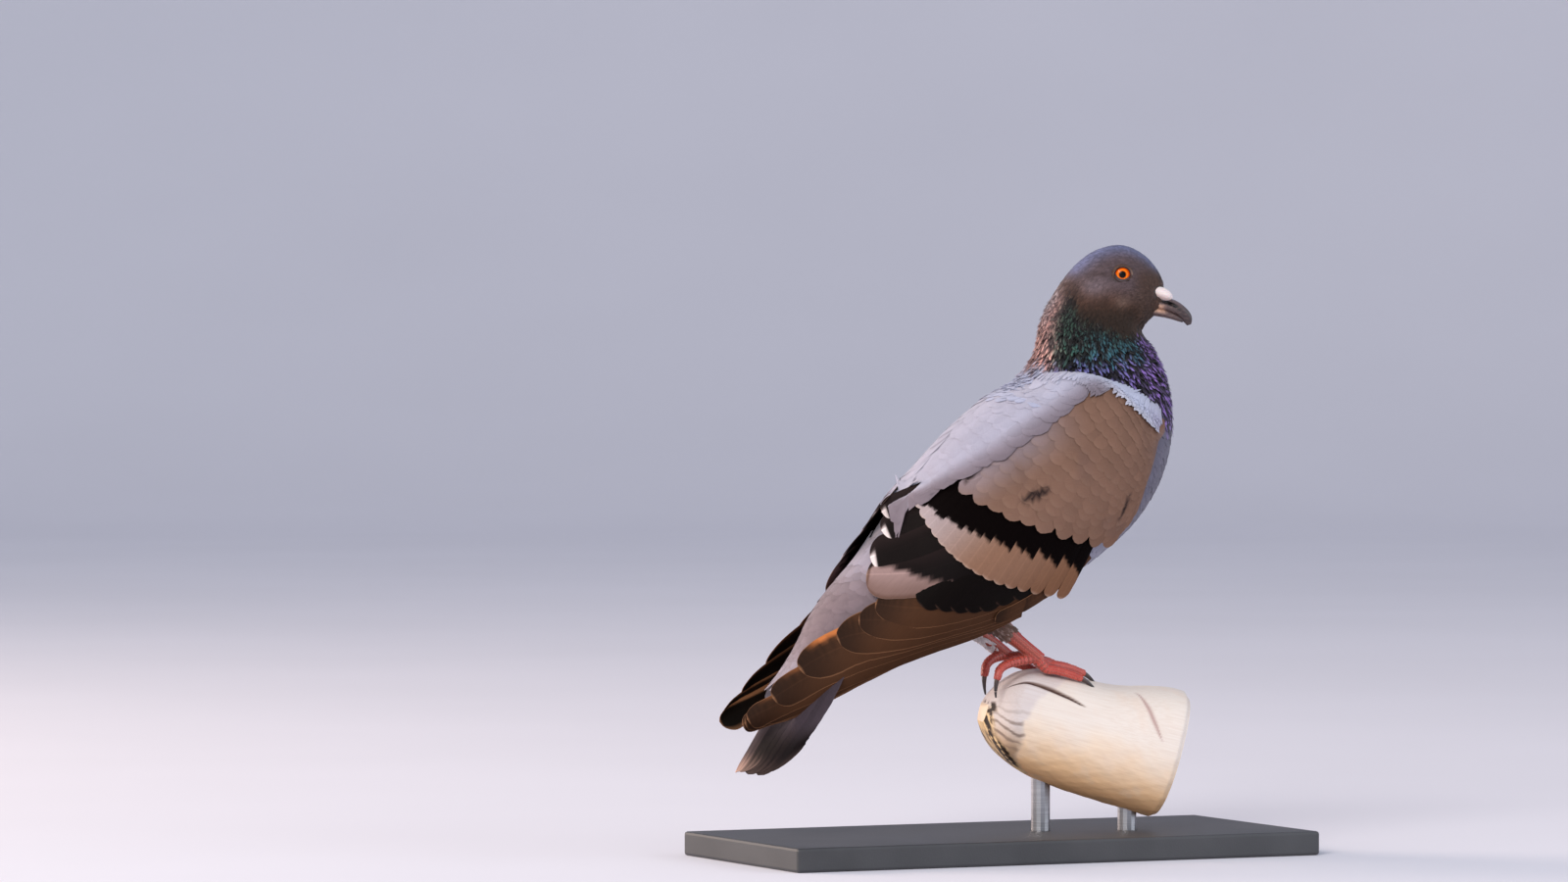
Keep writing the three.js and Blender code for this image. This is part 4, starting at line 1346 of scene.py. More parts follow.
@dataclass
class WingCoat:
    """One folded wing: rows of coverts, the two dark bars, and the flight feathers."""

    finishes: Finishes
    side: int
    name: str
    rows: int = 18
    cover: float = 1.45
    # Height on the wing and station of the mantle's lower edge, in front of which no coverts show.
    front_line: tuple = ((-0.04, 0.0, 0.17, 0.31, 0.47, 0.6), (1.37, 1.15, 0.7, 0.55, 0.32, 0.0))
    # Station, height, length, width and lean of each dark spot.
    spots: tuple = (
        (3.5, 0.06, 0.14, 0.03, 0.1), (2.75, 0.40, 0.2, 0.032, -0.1), (1.35, 0.86, 0.06, 0.06, 0.12),
    )
    # Root, tip, half width and glow, the strength of painted orange backlight, of the near primaries, from
    # the innermost out.
    inner: tuple = (
        ((3.33, 0.89), (5.83, 0.36), 8.6, 0.0), ((3.35, 0.94), (6.18, 0.38), 8.6, 0.0),
        ((3.35, 0.97), (6.65, 0.37), 9.2, 0.1), ((3.38, 1.0), (7.48, 0.27), 8.8, 1.0),
        ((3.40, 1.03), (8.10, 0.38), 6.4, 0.4), ((3.42, 1.04), (8.80, 0.60), 5.0, 0.35),
    )
    # Tips of the outer primaries, of the primary coverts and of the secondaries.
    outer: tuple = ((8.4, 0.95), (8.62, 0.97), (8.82, 0.98), (8.92, 1.0))
    over: tuple = ((3.85, 0.97), (3.48, 1.0), (3.15, 1.01))
    second: tuple = (
        (5.05, 0.58), (4.78, 0.66), (4.52, 0.74), (4.28, 0.8),
        (4.05, 0.85), (3.78, 0.88), (3.5, 0.92), (3.2, 0.96),
    )
    # Root, bend, tip, half width and height of each tertial, then its paint's start, slope and white.
    tertials: tuple = (
        ((3.1, 0.5), (4.75, 0.52), (5.98, 0.1), 11.5, 0.25, (0.67, 0.27, 0.0)),
        ((3.1, 0.26), (4.75, 0.28), (5.86, 0.02), 9.5, 0.38, (1.2, 0.0, 1.0)),
        ((3.0, 0.12), (4.4, 0.12), (5.5, -0.04), 8.0, 0.5, (1.2, 0.0, 1.0)),
        ((3.0, 0.04), (4.3, 0.04), (5.38, -0.12), 7.0, 0.62, (1.2, 0.0, 0.9)),
    )

    def __post_init__(self) -> None:
        """Keeps the wing's sheet."""
        self.sheet = WingSheet(self.side)

    def low(self, across: Array) -> Array:
        """Place across a feather, with 1 at its lower edge on either wing."""
        return -self.side * across

    @staticmethod
    def bar_line(y: Array) -> Array:
        """Station where the covert rows end and the first bar begins."""
        return 4.0 - 1.2 * y - 1.0 * y**2

    @staticmethod
    def band_line(y: Array) -> Array:
        """Station of the greater coverts' tips."""
        return 4.65 - 0.3 * y - 1.25 * y**2

    @staticmethod
    def slant(x: Array, y: Array) -> Array:
        """Turn of the feathers' lie towards the lower edge, in degrees."""
        return mix(9.0, 40.0, smooth(0.0, 0.95, y)) * mix(1.0, 0.85, smooth(0, 4, x))

    def covert_paint(self, s: Spot) -> Array:
        """Beige-grey with paler rims, cooler above, darker below, with three dark spots."""
        colour = painted(
            s.place, (116, 87, 73),
            ((141, 129, 138), smooth(0.32, 0.05, s.y) * smooth(1.6, 2.8, s.x) * 0.8),
            ((121, 89, 72), smooth(0.6, 1.0, s.y) * 0.7),
            ((122, 110, 122), smooth(0.8, -0.1, s.x) * smooth(0.5, 0.8, s.y) * 0.6),
            ((106, 81, 72), smooth(0.25, 0.8, ripple(s.place, 34, 3)) * 0.5),
            ((138, 113, 97), smooth(0.85, 1, s.along) * 0.22),
            ((95, 70, 58), smooth(0.6, 0.2, s.along) * 0.15),
        )
        rough = 0.05 * np.sin(40 * s.x + 25 * s.y)
        for x, y, wide, tall, lean in self.spots:
            spot = bell(s.x - x, lean * (s.y - y) / tall, wide) * bell(s.y, y, tall)
            colour = tone(colour, (30, 21, 21), smooth(0.22, 0.66, spot + rough) * 0.9)
        return colour * (mix(0.97, 1.03, s.other) * mix(0.96, 1.02, smooth(0.3, 0.9, s.along)))[..., None]

    def coverts(self, stock: Stock) -> None:
        """Rows of coverts. A row's tips lie on the bar's line drawn in towards the wrist."""
        coat = Coat(
            self.sheet, Grain.BROAD, self.covert_paint, -1.05, self.cover, 0.06, 0.02,
            scatter=0.035, ragged=0.05,
        )
        for row in range(self.rows):
            share = (row + 1.0) / self.rows
            length = mix(8.0, 17.0, share**1.3)
            half = mix(2.8, 5.4, share)
            count = int(66 / (half * 1.05))
            y = -0.02 + 1.08 * (np.arange(count) + 0.5 * (row % 2)) / count
            x = (self.bar_line(y) + 0.35) * share**0.9 - 0.35
            heading = np.radians(self.slant(x, y))
            dx, dy = self.sheet.walk(x, y, heading, -length)
            lift = -0.9 * smooth(0.84, 1.05, y) - 0.5 * smooth(0.1, -0.02, y)
            coat.seed = 31 + row
            shown = (y > mix(0.0, 0.03, smooth(1.8, 2.8, x))) & (x > np.interp(y, *self.front_line) - 0.05)
            shown &= (y + dy > -0.05) & (x + dx > -0.9)
            if shown.any():
                roots = ((x + dx)[shown], (y + dy)[shown])
                coat.lay(stock, roots, np.degrees(heading)[shown], length, half, lift[shown])

    def greater_paint(self, tip: float, s: Spot) -> Array:
        """Paint of one greater covert: black up to a ragged line, where the bar ends, then pale.

        Args:
            tip: the feather's own height on the wing.
            s: the places.

        Returns:
            The paint.
        """
        edge = 4.65 - 1.75 * s.y - 0.45 * s.y**2 - 0.09 + 0.1 * self.low(s.across) * smooth(0.1, 0.4, s.y)
        edge = edge + 0.04 * np.sin(41 * tip)
        return painted(
            s.place, (132, 98, 79),
            ((164, 149, 150), smooth(0.6, 0.1, s.y)),
            ((122, 84, 60), smooth(0.7, 1.05, s.y) * 0.7),
            ((186, 162, 148), smooth(0.95, 1, s.along) * 0.5),
            ((6, 2, 2), smooth(0.03, -0.03, s.x - edge + 0.012 * np.sin(s.across * 40 + 9 * tip))),
        )

    def secondary_paint(self, s: Spot) -> Array:
        """Black, a little browner towards the rim."""
        return painted(
            s.place, (9, 4, 3),
            ((52, 34, 26), smooth(0.9, 1.0, self.low(s.across)) * 0.5),
            ((60, 42, 34), smooth(0.985, 1.0, s.along)),
        )

    def tertial_paint(self, start: float, slope: float, white: float, s: Spot) -> Array:
        """Paint of one tertial: black, then a pale end with a narrow dark rim.

        Args:
            start: where its pale end begins on the shaft, as a share of the length.
            slope: how much earlier it begins at the lower rim.
            white: strength of its white tip mark.
            s: the places.

        Returns:
            The paint.
        """
        low = self.low(s.across)
        begin = start - slope * low + 0.25 * np.maximum(0, -low) + 0.01 * np.sin(30 * low)
        pale = smooth(-0.025, 0.03, s.along - begin)
        rim = smooth(0.86, 0.93, np.abs(low)) * smooth(0.4, 0.6, s.along)
        rim = np.maximum(rim, smooth(0.962, 0.978, s.along))
        return painted(
            s.place, (14, 8, 8),
            ((44, 31, 31), smooth(0.2, -0.9, low) * 0.6),
            ((150, 124, 120), pale),
            ((118, 92, 85), pale * smooth(-0.1, 0.85, low) * 0.9),
            ((96, 70, 60), rim * pale * 0.8),
            ((190, 160, 142), smooth(0.985, 1.0, np.maximum(np.abs(low), s.along)) * 0.5),
            ((222, 208, 206), smooth(0.93, 0.955, s.along) * smooth(-0.6, 0.0, low) * white),
        )

    def primary_paint(self, glow: float, s: Spot) -> Array:
        """Paint of one primary: brown, darker at the tip, thin buff rim, faint bars, pale shaft, with painted
        orange backlight at the upper rim and painted shadow over the far wing.

        Args:
            glow: strength of the painted orange light through its upper rim.
            s: the places.

        Returns:
            The paint.
        """
        low = self.low(s.across)
        wavy = low + 0.05 * np.sin(s.along * 90)
        bars = 0.5 + 0.5 * np.sin(s.along * 210 + 2 * low + 6 * s.seed)
        lit = smooth(-0.5, -0.85, wavy) * smooth(0.58, 0.68, s.along) * smooth(0.93, 0.83, s.along)
        # The orange layer is painted backlight shining through the vane.
        colour = painted(
            s.place, (70, 44, 28),
            ((36, 22, 15), smooth(0.7, 1.0, s.along) * 0.75),
            ((26, 16, 11), bars * 0.3 * smooth(0.62, 0.85, s.along) * smooth(0.5, -0.4, low)),
            ((190, 112, 62), glow * lit),
        )
        # Painted shadow: the far wing is darkened all over, except for a strip of painted orange backlight
        # along its upper rim.
        if self.side > 0:
            colour = tone(colour * 0.28, (124, 68, 35), smooth(-0.74, -0.88, wavy) * 0.85)
        rim = np.maximum(smooth(0.94, 0.975, np.abs(low)), smooth(0.988, 0.995, s.along))
        return tone(colour, (150, 106, 76), rim * 0.7)

    def flight(self) -> list[Vane]:
        """The primaries, secondaries, tertials and primary coverts, lowest first."""
        vanes = []
        plain = partial(self.primary_paint, 0.0)
        for n, (x, y) in enumerate(self.outer):
            bend, height = (5.6, 0.94 + 0.01 * n), -2.1 + 0.1 * (3 - n)
            vanes.append(Vane((3.0, 0.95), bend, (x, y - 0.06), 5.0, height, plain, round=1.3))
        for n, (root, tip, half, glow) in enumerate(self.inner):
            bend = ((root[0] + tip[0]) / 2 + 0.1, (root[1] + tip[1]) / 2 + 0.14)
            paint = partial(self.primary_paint, glow)
            vanes.append(Vane(root, bend, tip, half, -0.5 - 0.2 * n, paint, round=1.15))
        for n, (x, y) in enumerate(self.over):
            vanes.append(Vane((x - 1.1, 1.0), (x - 0.5, 1.02), (x, y), 3.6, 0.0 - 0.1 * n, plain, sink=0.5))
        for n, (x, y) in enumerate(self.second):
            root = (x - 1.9, y - 0.32)
            bend = ((x + root[0]) / 2, (y + root[1]) / 2 + 0.03)
            vanes.append(Vane(root, bend, (x, y), 6.4, 0.1 - 0.06 * n, self.secondary_paint))
        for n, (root, bend, tip, half, height, paint) in enumerate(self.tertials):
            paint = partial(self.tertial_paint, *paint)
            vanes.append(Vane(root, bend, tip, half, height, paint, round=0.5 if n else 0.62))
        return vanes

    def greater(self) -> list[Vane]:
        """The greater coverts, from the lowest up, each lying over the one below."""
        vanes = []
        count, run = 16, 0.95
        for n in range(count):
            y = mix(1.1, 0.03, n / (count - 1))
            x = float(self.band_line(np.array(y)))
            slant = math.radians(float(self.slant(np.array(x), np.array(y))))
            root = (x - run, y - 0.42 * math.sin(slant))
            bend = ((x + root[0]) / 2 + 0.03, (y + root[1]) / 2 + 0.02)
            half, paint = mix(3.8, 4.8, n / count), partial(self.greater_paint, y)
            vanes.append(Vane(root, bend, (x, y), half, 0.85 + 0.03 * n, paint, round=0.55, sink=0.9))
        return vanes

    def build(self) -> None:
        """The wing's coat and feathers as three pieces."""
        wing = f"wing_{self.name}"
        small = Stock()
        self.coverts(small)
        mount(small.mesh(f"{wing}_coverts", self.finishes.covert), "wing_coverts", wing)
        bar = Stock(mapped=False)
        Fan(self.sheet, camber=0.05, stations=30).build(self.greater(), bar)
        mount(bar.mesh(f"{wing}_bars", self.finishes.bars), "wing_coverts")
        large = Stock(mapped=False)
        Fan(self.sheet).build(self.flight(), large)
        mount(large.mesh(f"{wing}_flight", self.finishes.flight), "flight_feathers", f"{wing}_tip")


@dataclass
class TailFan:
    """The twelve tail feathers, folded, the middle pair uppermost."""

    finishes: Finishes
    pairs: int = 6

    def colours(self, place: float, s: Spot) -> Array:
        """Paint of one tail feather: slate, a blackish band before the end, a worn pale tip.

        Args:
            place: where its tip lies across the tail, from -1 to 1.
            s: the places.

        Returns:
            The paint.
        """
        streaks = smooth(0.1, 0.7, np.sin(s.across * 9 + place * 40) * np.sin(s.along * 7 + place * 11))
        worn = smooth(0.88, 0.99, s.along + 0.02 * np.sin(s.across * 17 + place * 30))
        rim = smooth(0.2, 1.0, s.across * np.sign(place))
        near = smooth(0.0, 0.2, place) * smooth(0.6, 0.78, s.along)
        colour = painted(
            s.place, (106, 94, 101),
            ((52, 44, 50), smooth(0.25, -0.05, place) * 0.85),
            ((66, 52, 53), smooth(0.55, 0.76, s.along) * smooth(-0.05, 0.25, place)),
            ((20, 14, 14), smooth(0.7, 0.86, s.along) * smooth(0.2, -0.05, place) * 0.9),
            ((14, 10, 11), smooth(0.2, 0.95, abs(place)) * rim),
            ((132, 106, 96), near * mix(0.35, 0.9, streaks)),
            ((190, 154, 138), worn * mix(0.2, 0.85, smooth(-0.3, 0.1, place))),
        )
        return colour * mix(0.92, 1.08, s.other)[..., None]

    def build(self) -> None:
        """All twelve, from the outermost pair in."""
        stock = Stock(mapped=False)
        vanes = []
        for n in range(self.pairs - 1, -1, -1):
            for sign, _ in SIDES:
                place = sign * (0.08 + 0.165 * n)
                vanes.append(Vane(
                    (-0.02, place * 0.7), (0.5, place), (0.995 - 0.012 * (n % 2), place), 7.2,
                    0.1 - 0.34 * n + 0.1 * (sign > 0), partial(self.colours, place), narrow=0.55, round=0.6,
                ))
        Fan(TailSheet(), wear=0.05, camber=0.06).build(vanes, stock)
        mount(stock.mesh("tail_feathers", self.finishes.flight), "tail_feathers", "tail")


# ---- Legs and feet


@dataclass
class Branch:
    """The peeled branch: a bent, knotty trunk with a charred cut end and drying cracks."""

    finishes: Finishes
    centre: tuple = (9.0, -1.0, 60.0)
    yaw: float = -17.0
    fall: float = -16.0
    back: float = -17.0
    front: float = 64.0
    radius: float = 23.6
    taper: float = 0.025
    # The worn end, above the axis and below it: where it starts, over what length it rises, to
    # what height and by what power.
    above: tuple = (-17.2, 19.0, 25.2, 0.55)
    below: tuple = (-18.2, 26.0, 23.6, 0.47)
    knot: tuple = (60.0, 19.0, 5.2)
    waist: tuple = (30.0, 12.0, -0.6)
    flat: float = 1.2
    # Start and end of each crack, in distance along the branch and turn, then its sag and width.
    long_crack: tuple = ((-11.5, -0.84), (20.0, -1.02), 0.06, 0.85)
    soft_crack: tuple = ((41.0, -0.48), (54.5, -1.3), -0.02, 1.5)
    # Stations on each cut end, stations on the side, and points round it.
    ends: int = 26
    middle: int = 150
    around: int = 300

    def __post_init__(self) -> None:
        """Works out the branch's own axes."""
        fall, yaw = math.radians(self.fall), math.radians(self.yaw)
        self.axis = np.array([math.cos(fall) * math.cos(yaw), math.cos(fall) * math.sin(yaw), math.sin(fall)])
        self.beside = np.array([-math.sin(yaw), math.cos(yaw), 0.0])
        self.up = np.cross(self.axis, self.beside)

    def girth(self, run: Array, turn: Array) -> Array:
        """Radius along and round the branch: a taper, a knot above, a waist, flats and low waves."""
        above = np.maximum(0, np.cos(turn))
        knot = self.knot[2] * bell(run, self.knot[0], self.knot[1]) * mix(0.45, 1, np.cos(turn))
        waist = self.waist[2] * bell(run, self.waist[0], self.waist[1]) * above
        waves = 0.5 * np.sin(2 * turn + 0.7) + 0.3 * np.sin(3 * turn + run / 30)
        return self.radius + self.taper * run + knot + waist - self.flat * np.cos(4 * turn) * above + waves

    def worn(self, run: Array, height: Array) -> Array:
        """Height over the axis, held in near the worn end: h / (1 + (h / limit)^8)^(1/8)."""
        high, low = (
            tall * np.maximum((run - start) / length, 0.01) ** power
            for start, length, tall, power in (self.above, self.below)
        )
        return height / (1 + (np.abs(height) / np.where(height > 0, high, low)) ** 8) ** 0.125

    def top(self, x: float, y: float) -> float:
        """Height of the branch's upper side over a point of the plan."""
        flat = np.array([x - self.centre[0], y - self.centre[1]])
        sideways = flat @ self.beside[:2]
        level = math.hypot(self.axis[0], self.axis[1])
        run = flat @ (self.axis[:2] / level) / level
        turn = math.asin(min(0.95, max(-0.95, sideways / self.radius)))
        rise = float(self.girth(run, turn)) * math.cos(turn) / self.up[2]
        return self.centre[2] + run * self.axis[2] + rise

    def build(self) -> None:
        """The branch as one closed surface, with its paint.

        The two parameters are the share of the length and the turn. The first and last stations
        close the cut ends, and the cracks and the charred rim are pressed in along the normal.
        """
        ends, middle = self.ends, self.middle
        closing = np.linspace(0.02, 1, ends) ** 0.8
        length = np.concatenate([np.zeros(ends), np.linspace(0, 1, middle) ** 1.3, np.ones(ends)])
        v, turn = crossed(length, circle(self.around))
        cap = np.concatenate([closing, np.ones(middle), np.linspace(1, 0.02, ends) ** 0.8])
        cap = np.broadcast_to(cap[:, None], v.shape)
        run = mix(self.back, self.front, v)
        rounding = mix(0.42, 1, smooth(0, 0.15, v) ** 0.6)
        rounding = rounding * np.where(v > 0.97, mix(1, 0.94, smooth(0.97, 1, v)), 1)
        radius = self.girth(run, turn) * rounding
        signed = (turn + math.pi) % ALONG - math.pi
        dome = 1.2 * (1 - cap**2) * np.where(v < 0.5, -1, 1)

        def crack(start: tuple, end: tuple, sag: float, width: float) -> Array:
            """A line from start to end in run and turn, narrow at both ends."""
            share = np.clip((run - start[0]) / (end[0] - start[0]), 0, 1)
            line = mix(start[1], end[1], share) + sag * np.sin(math.pi * share)
            inside = smooth(-1.5, 1.5, run - start[0]) * smooth(1.5, -1.5, run - end[0])
            taper = 0.25 + 0.75 * np.sin(math.pi * share)
            return bell((signed - line) * radius, 0, width * taper) * inside

        first = crack(*self.long_crack)
        second = 0.45 * crack(*self.soft_crack)
        pits = ripple(np.stack([run * 0.5, radius * np.cos(turn), radius * np.sin(turn)], -1), 9, 3)
        reach = radius - 1.1 * first - 0.35 * second + 0.16 * pits * smooth(0, 0.06, v)
        height = self.worn(run, reach * np.cos(turn))
        points = (
            np.asarray(self.centre) + self.axis * (run + dome)[..., None]
            + self.beside * (reach * np.sin(turn) * cap)[..., None] + self.up * (height * cap)[..., None]
        )
        tint = self.colours(run, signed, height, cap, v, points)
        tint = tone(tint, (64, 36, 28), np.clip(1.4 * first, 0, 1))
        tint = tone(tint, (158, 120, 116), np.clip(1.6 * second, 0, 1))
        grain = np.stack([run, radius * np.sin(turn), radius * np.cos(turn)], -1)
        stock = Stock()
        stock.rings(points[None], tint[None], grain[None])
        mount(stock.mesh("branch", self.finishes.wood), "perch_wood", "perch")

    def colours(self, run: Array, turn: Array, height: Array, cap: Array, v: Array, points: Array) -> Array:
        """Cream above, warm orange below as painted warm light on the underside, grey and streaky behind the
        charred rim of the worn end.

        Args:
            run: distance along the branch.
            turn: turn from the top, from -pi to pi.
            height: height over the axis.
            cap: 1 on the side and less on the cut ends.
            v: share of the length.
            points: the places, for noise.

        Returns:
            Colours.
        """
        high, low = (
            start + length * (np.abs(height) / tall) ** (1 / power)
            for start, length, tall, power in (self.above, self.below)
        )
        past = run - np.where(height > 0, high, low) + 1.2 * ripple(points, 12, 6)
        band = mix(15.0, 4.0, smooth(-6, -19, height))
        grey = smooth(band + 1.5, band - 1.5, past)
        streak = smooth(0.2, 0.9, np.sin(turn * 34 + 3 * ripple(points, 26, 5))) * bell(height, -6, 7)
        spots = smooth(-0.3, 0.25, ripple(points, 4.5, 9) + 0.1)
        char = bell(past, 1.7, 1.2) * smooth(4.5, 1.5, height) * smooth(-21, -17, height) * spots
        rings = 0.5 + 0.5 * np.sin(cap * 46 + 1.5 * ripple(points, 12, 1))
        # Painted light: the two warm orange layers lighten the underside to stand in for the warm light that
        # reaches it.
        colour = painted(
            points, (226, 215, 206),
            ((246, 206, 162), smooth(1.25, 2.4, np.abs(turn) + 0.12 * ripple(points, 30, 4))),
            ((250, 188, 130), smooth(2.0, 2.9, np.abs(turn)) * 0.7),
            ((226, 204, 188), 0.3 * smooth(0.1, 0.8, ripple(points, 22, 8))),
            ((208, 198, 198), grey * 0.85),
            ((178, 142, 108), grey * smooth(-2, -14, height) * 0.8),
            ((104, 86, 76), streak * grey * 0.7),
            ((232, 200, 150), smooth(4.5, 2.5, past) * smooth(4, -4, height)),
            ((34, 18, 12), np.clip(2.2 * char, 0, 1) * (v > 0)),
        )
        face = (cap < 0.999) & (v < 0.5)
        end = painted(points, (240, 222, 200), ((214, 180, 146), rings * 0.3))
        return np.where(face[..., None], end, colour)


@dataclass
class Feet:
    """Both legs: feathered shins, scaled feet on the branch, and claws."""

    finishes: Finishes
    branch: Branch
    side_out: float = 15.0
    hip: tuple = (5.0, 126.0)
    knee: tuple = (-6.0, 112.0)
    ankle: tuple = (-14.0, 104.0)
    shank: tuple = (-9.4, 100.3)
    foot: tuple = (8.8, 86.6)
    cuff: tuple = (-11.0, 101.6)
    thigh_radii: tuple = (12.0, 9.5, 5.4, 4.9)
    shank_radii: tuple = (4.6, 3.2, 3.0)
    toe_radii: tuple = (2.6, 1.7)
    plate_step: float = 1.35
    scale_step: float = 1.1
    claw: float = 7.5
    claw_radii: tuple = (1.25, 0.35)
    claw_start: float = 1.2
    drops: tuple = (0.6, 1.2, 2.0, 3.3, 5.2, 7.8)
    # Turns from the side of a toe at which rows of small scales run.
    rows: tuple = (0.02, 0.48, -0.1, 0.6, 0.12, 0.38)
    # Heading in degrees, length and arch of each toe.
    toes: dict = field(default_factory=lambda: {
        "right": {
            "middle": (10, 23, 0.8), "outer": (-12, 18, 0.6), "inner": (36, 16, 0.8), "hind": (180, 14.5, 0),
        },
        "left": {
            "middle": (-26, 26, 2.2), "outer": (-9, 18, 0.8), "inner": (-50, 15, 0.6), "hind": (192, 8.5, 0),
        },
    })
    samples: list = field(default_factory=list)

    def toe_path(self, side: int, name: str, heading: float, length: float, arch: float) -> Array:
        """A forward toe lies along the branch; the hind toe bends down over its cut end."""
        angle = math.radians(heading)
        x, y, z = self.foot[0], side * self.side_out, self.foot[1]
        if name == "hind":
            run = length * np.sin(math.pi / 2 * np.arange(6) / 5) * 1.25
            height = z - np.array(self.drops)
            return np.stack([x + run * math.cos(angle), y + run * math.sin(angle), height], 1)
        points = [[x, y, z - 0.6]]
        for i in range(1, 6):
            run = length * i / 5
            px, py = x + run * math.cos(angle), y + run * math.sin(angle)
            lift = self.toe_radii[0] + 0.3 - 0.6 * i / 5 + arch * math.sin(math.pi * i / 5)
            points.append([px, py, self.branch.top(px, py) + lift])
        return np.array(points)

    def claw_path(self, toe: Array, hind: bool) -> Array:
        """A claw carries the toe's line on and bends down."""
        ahead = unit(toe[-1] - toe[-2])
        share = np.arange(5) / 4
        path = toe[-1] + ahead * (self.claw * share + self.toe_radii[1] * 0.3)[:, None]
        path[:, 2] -= (0.15 if hind else 0.4) * self.claw * share**2
        path[:, 0] += (0.22 if hind else 0) * self.claw * share**2
        return path

    def shin_paint(self, s: Spot) -> Array:
        """Grey-brown, with some feathers paler."""
        colour = painted(s.place, (108, 82, 71), ((156, 138, 132), smooth(0.45, 0.9, s.other) * 0.45))
        return colour * (mix(0.8, 1.05, s.along) * mix(0.9, 1.08, s.other))[..., None]

    def fluff_paint(self, s: Spot) -> Array:
        """White down, greyer at the root."""
        colour = painted(s.place, (222, 214, 216))
        return colour * (mix(0.75, 1.03, s.along) * mix(0.9, 1.05, s.other))[..., None]

    def toe_paint(self, s: Spot) -> Array:
        """Orange-red scales with pink rims."""
        rim = np.maximum(smooth(0.84, 1, s.along), smooth(0.86, 1, np.abs(s.across)))
        return painted(s.place, (178, 44, 32), ((206, 84, 62), s.other * 0.6), ((228, 160, 152), rim * 0.4))

    def shank_paint(self, s: Spot) -> Array:
        """Deep red scales with thin paler rims, browner at the sides."""
        brown = smooth(0.1, 0.2, np.abs(s.root_y - 0.25)) * 0.8
        rim = np.maximum(smooth(0.86, 1, s.along), smooth(0.88, 1, np.abs(s.across)))
        return painted(s.place, (190, 30, 28), ((160, 66, 44), brown), ((220, 140, 130), rim * 0.5))

    def thigh(self, side: int, inset: float = 0.0) -> TubeSheet:
        """Thigh and shin as one tube, made thinner by an inset."""
        places = (self.hip, self.knee, self.ankle, self.cuff)
        path = [(x, side * (self.side_out + out), z) for (x, z), out in zip(places, (3, 1, 0, 0))]
        return TubeSheet(np.array(path), np.array(self.thigh_radii) - inset, (1.0, 0.0, 0.0))

    def shins(self) -> None:
        """Feathers of both thighs and shins, with a cuff of loose down over the bare shank."""
        stock = Stock()
        shanks = [sheet for sheet, node in self.limbs() if node.startswith("leg")]
        downs = (((-0.36, 0.1), 0.35, self.shin_paint), ((0.5, 0.92), 1.2, self.fluff_paint))
        for (side, _), shank, (turns, reach, paint) in zip(SIDES, shanks, downs):
            coat = Coat(
                self.thigh(side), Grain.MIDDLE, self.shin_paint, 1.4, 0.1, 0.14, 0.12, 0.2,
                scatter=0.14, seed=41, cell=(side + 1, 4),
            )
            roots = coat.sow((0.0, 3.0), (0, 1), graded(2.2, 1.5, 0, 3))
            length = mix(8.0, 4.6, smooth(0, 3, roots[0]))
            coat.lay(stock, roots, 0.0, length, length * 0.3)
            cuff = Coat(
                shank, Grain.MIDDLE, paint, 0.5, 0.35, 0.1, 0.1, 0.3,
                scatter=0.2, ragged=0.15, seed=43, cell=(side + 2, 4),
            )
            down = cuff.sow((-0.2, reach), turns, graded(0.9, 0.9, 0, 1))
            cuff.lay(stock, down, 0.0, np.full(len(down[0]), 4.4), 0.72)
            self.samples.append(coat.sample(roots))
        mount(stock.mesh("shin_feathers", self.finishes.contour), "body_feathers")

    def limbs(self) -> list[tuple[TubeSheet, str]]:
        """The bare parts of both feet as tubes, with the CAD nodes that they stand for."""
        tubes = []
        middle = np.add(self.shank, self.foot) / 2
        for side, name in SIDES:
            path = np.array([(x, side * self.side_out, z) for x, z in (self.shank, middle, self.foot)])
            tubes.append((TubeSheet(path, np.array(self.shank_radii), (1.0, 0.0, 0.0)), f"leg_{name}"))
            for toe, shape in self.toes[name].items():
                line = self.toe_path(side, toe, *shape)
                ahead = unit(line[-1] - line[-2])
                radii = np.array([*np.linspace(*self.toe_radii, len(line)), 0.85 * self.toe_radii[1], 0.3])
                line = np.concatenate([line, line[-1] + ahead * np.array([[1.1], [1.9]])])
                tubes.append((TubeSheet(line, radii, flatten=0.12), f"toe_{name}_{toe}"))
        return tubes

    def scales(self) -> None:
        """Scales on feet and toes: broad plates on top and small ones at the sides."""
        stock = Stock()
        limbs = self.limbs()
        for number, (sheet, node) in enumerate(limbs):
            toe = node.startswith("toe")
            last = len(sheet.path) - 1
            length = np.linalg.norm(np.diff(sheet.path, axis=0), axis=-1).sum()
            coat = Coat(
                sheet, Grain.FINE, self.toe_paint if toe else self.shank_paint, 0.16, 0.1, 0.14, 0.05,
                scatter=0.06, ragged=0.05, seed=42, cell=(number, len(limbs)),
            )
            count = int(length / self.plate_step)
            x = np.linspace(0.05, last - 1.2, count)
            radius = through_rows(np.asarray(sheet.radii)[:, None], x)[:, 0]
            coat.lay(stock, (x, np.full(count, 0.25)), 0.0, np.full(count, 2.0), radius * 0.82)
            small = int(length / self.scale_step)
            for turn in self.rows:
                x = np.linspace(0.0, last - (1.1 if toe else 0.0), small) + 0.02 * turn
                coat.seed += 1
                coat.lay(stock, (x, np.full(small, turn)), 0.0, np.full(small, 1.5), np.full(small, 0.85))
        mount(stock.mesh("foot_scales", self.finishes.leg), "leg_skin")

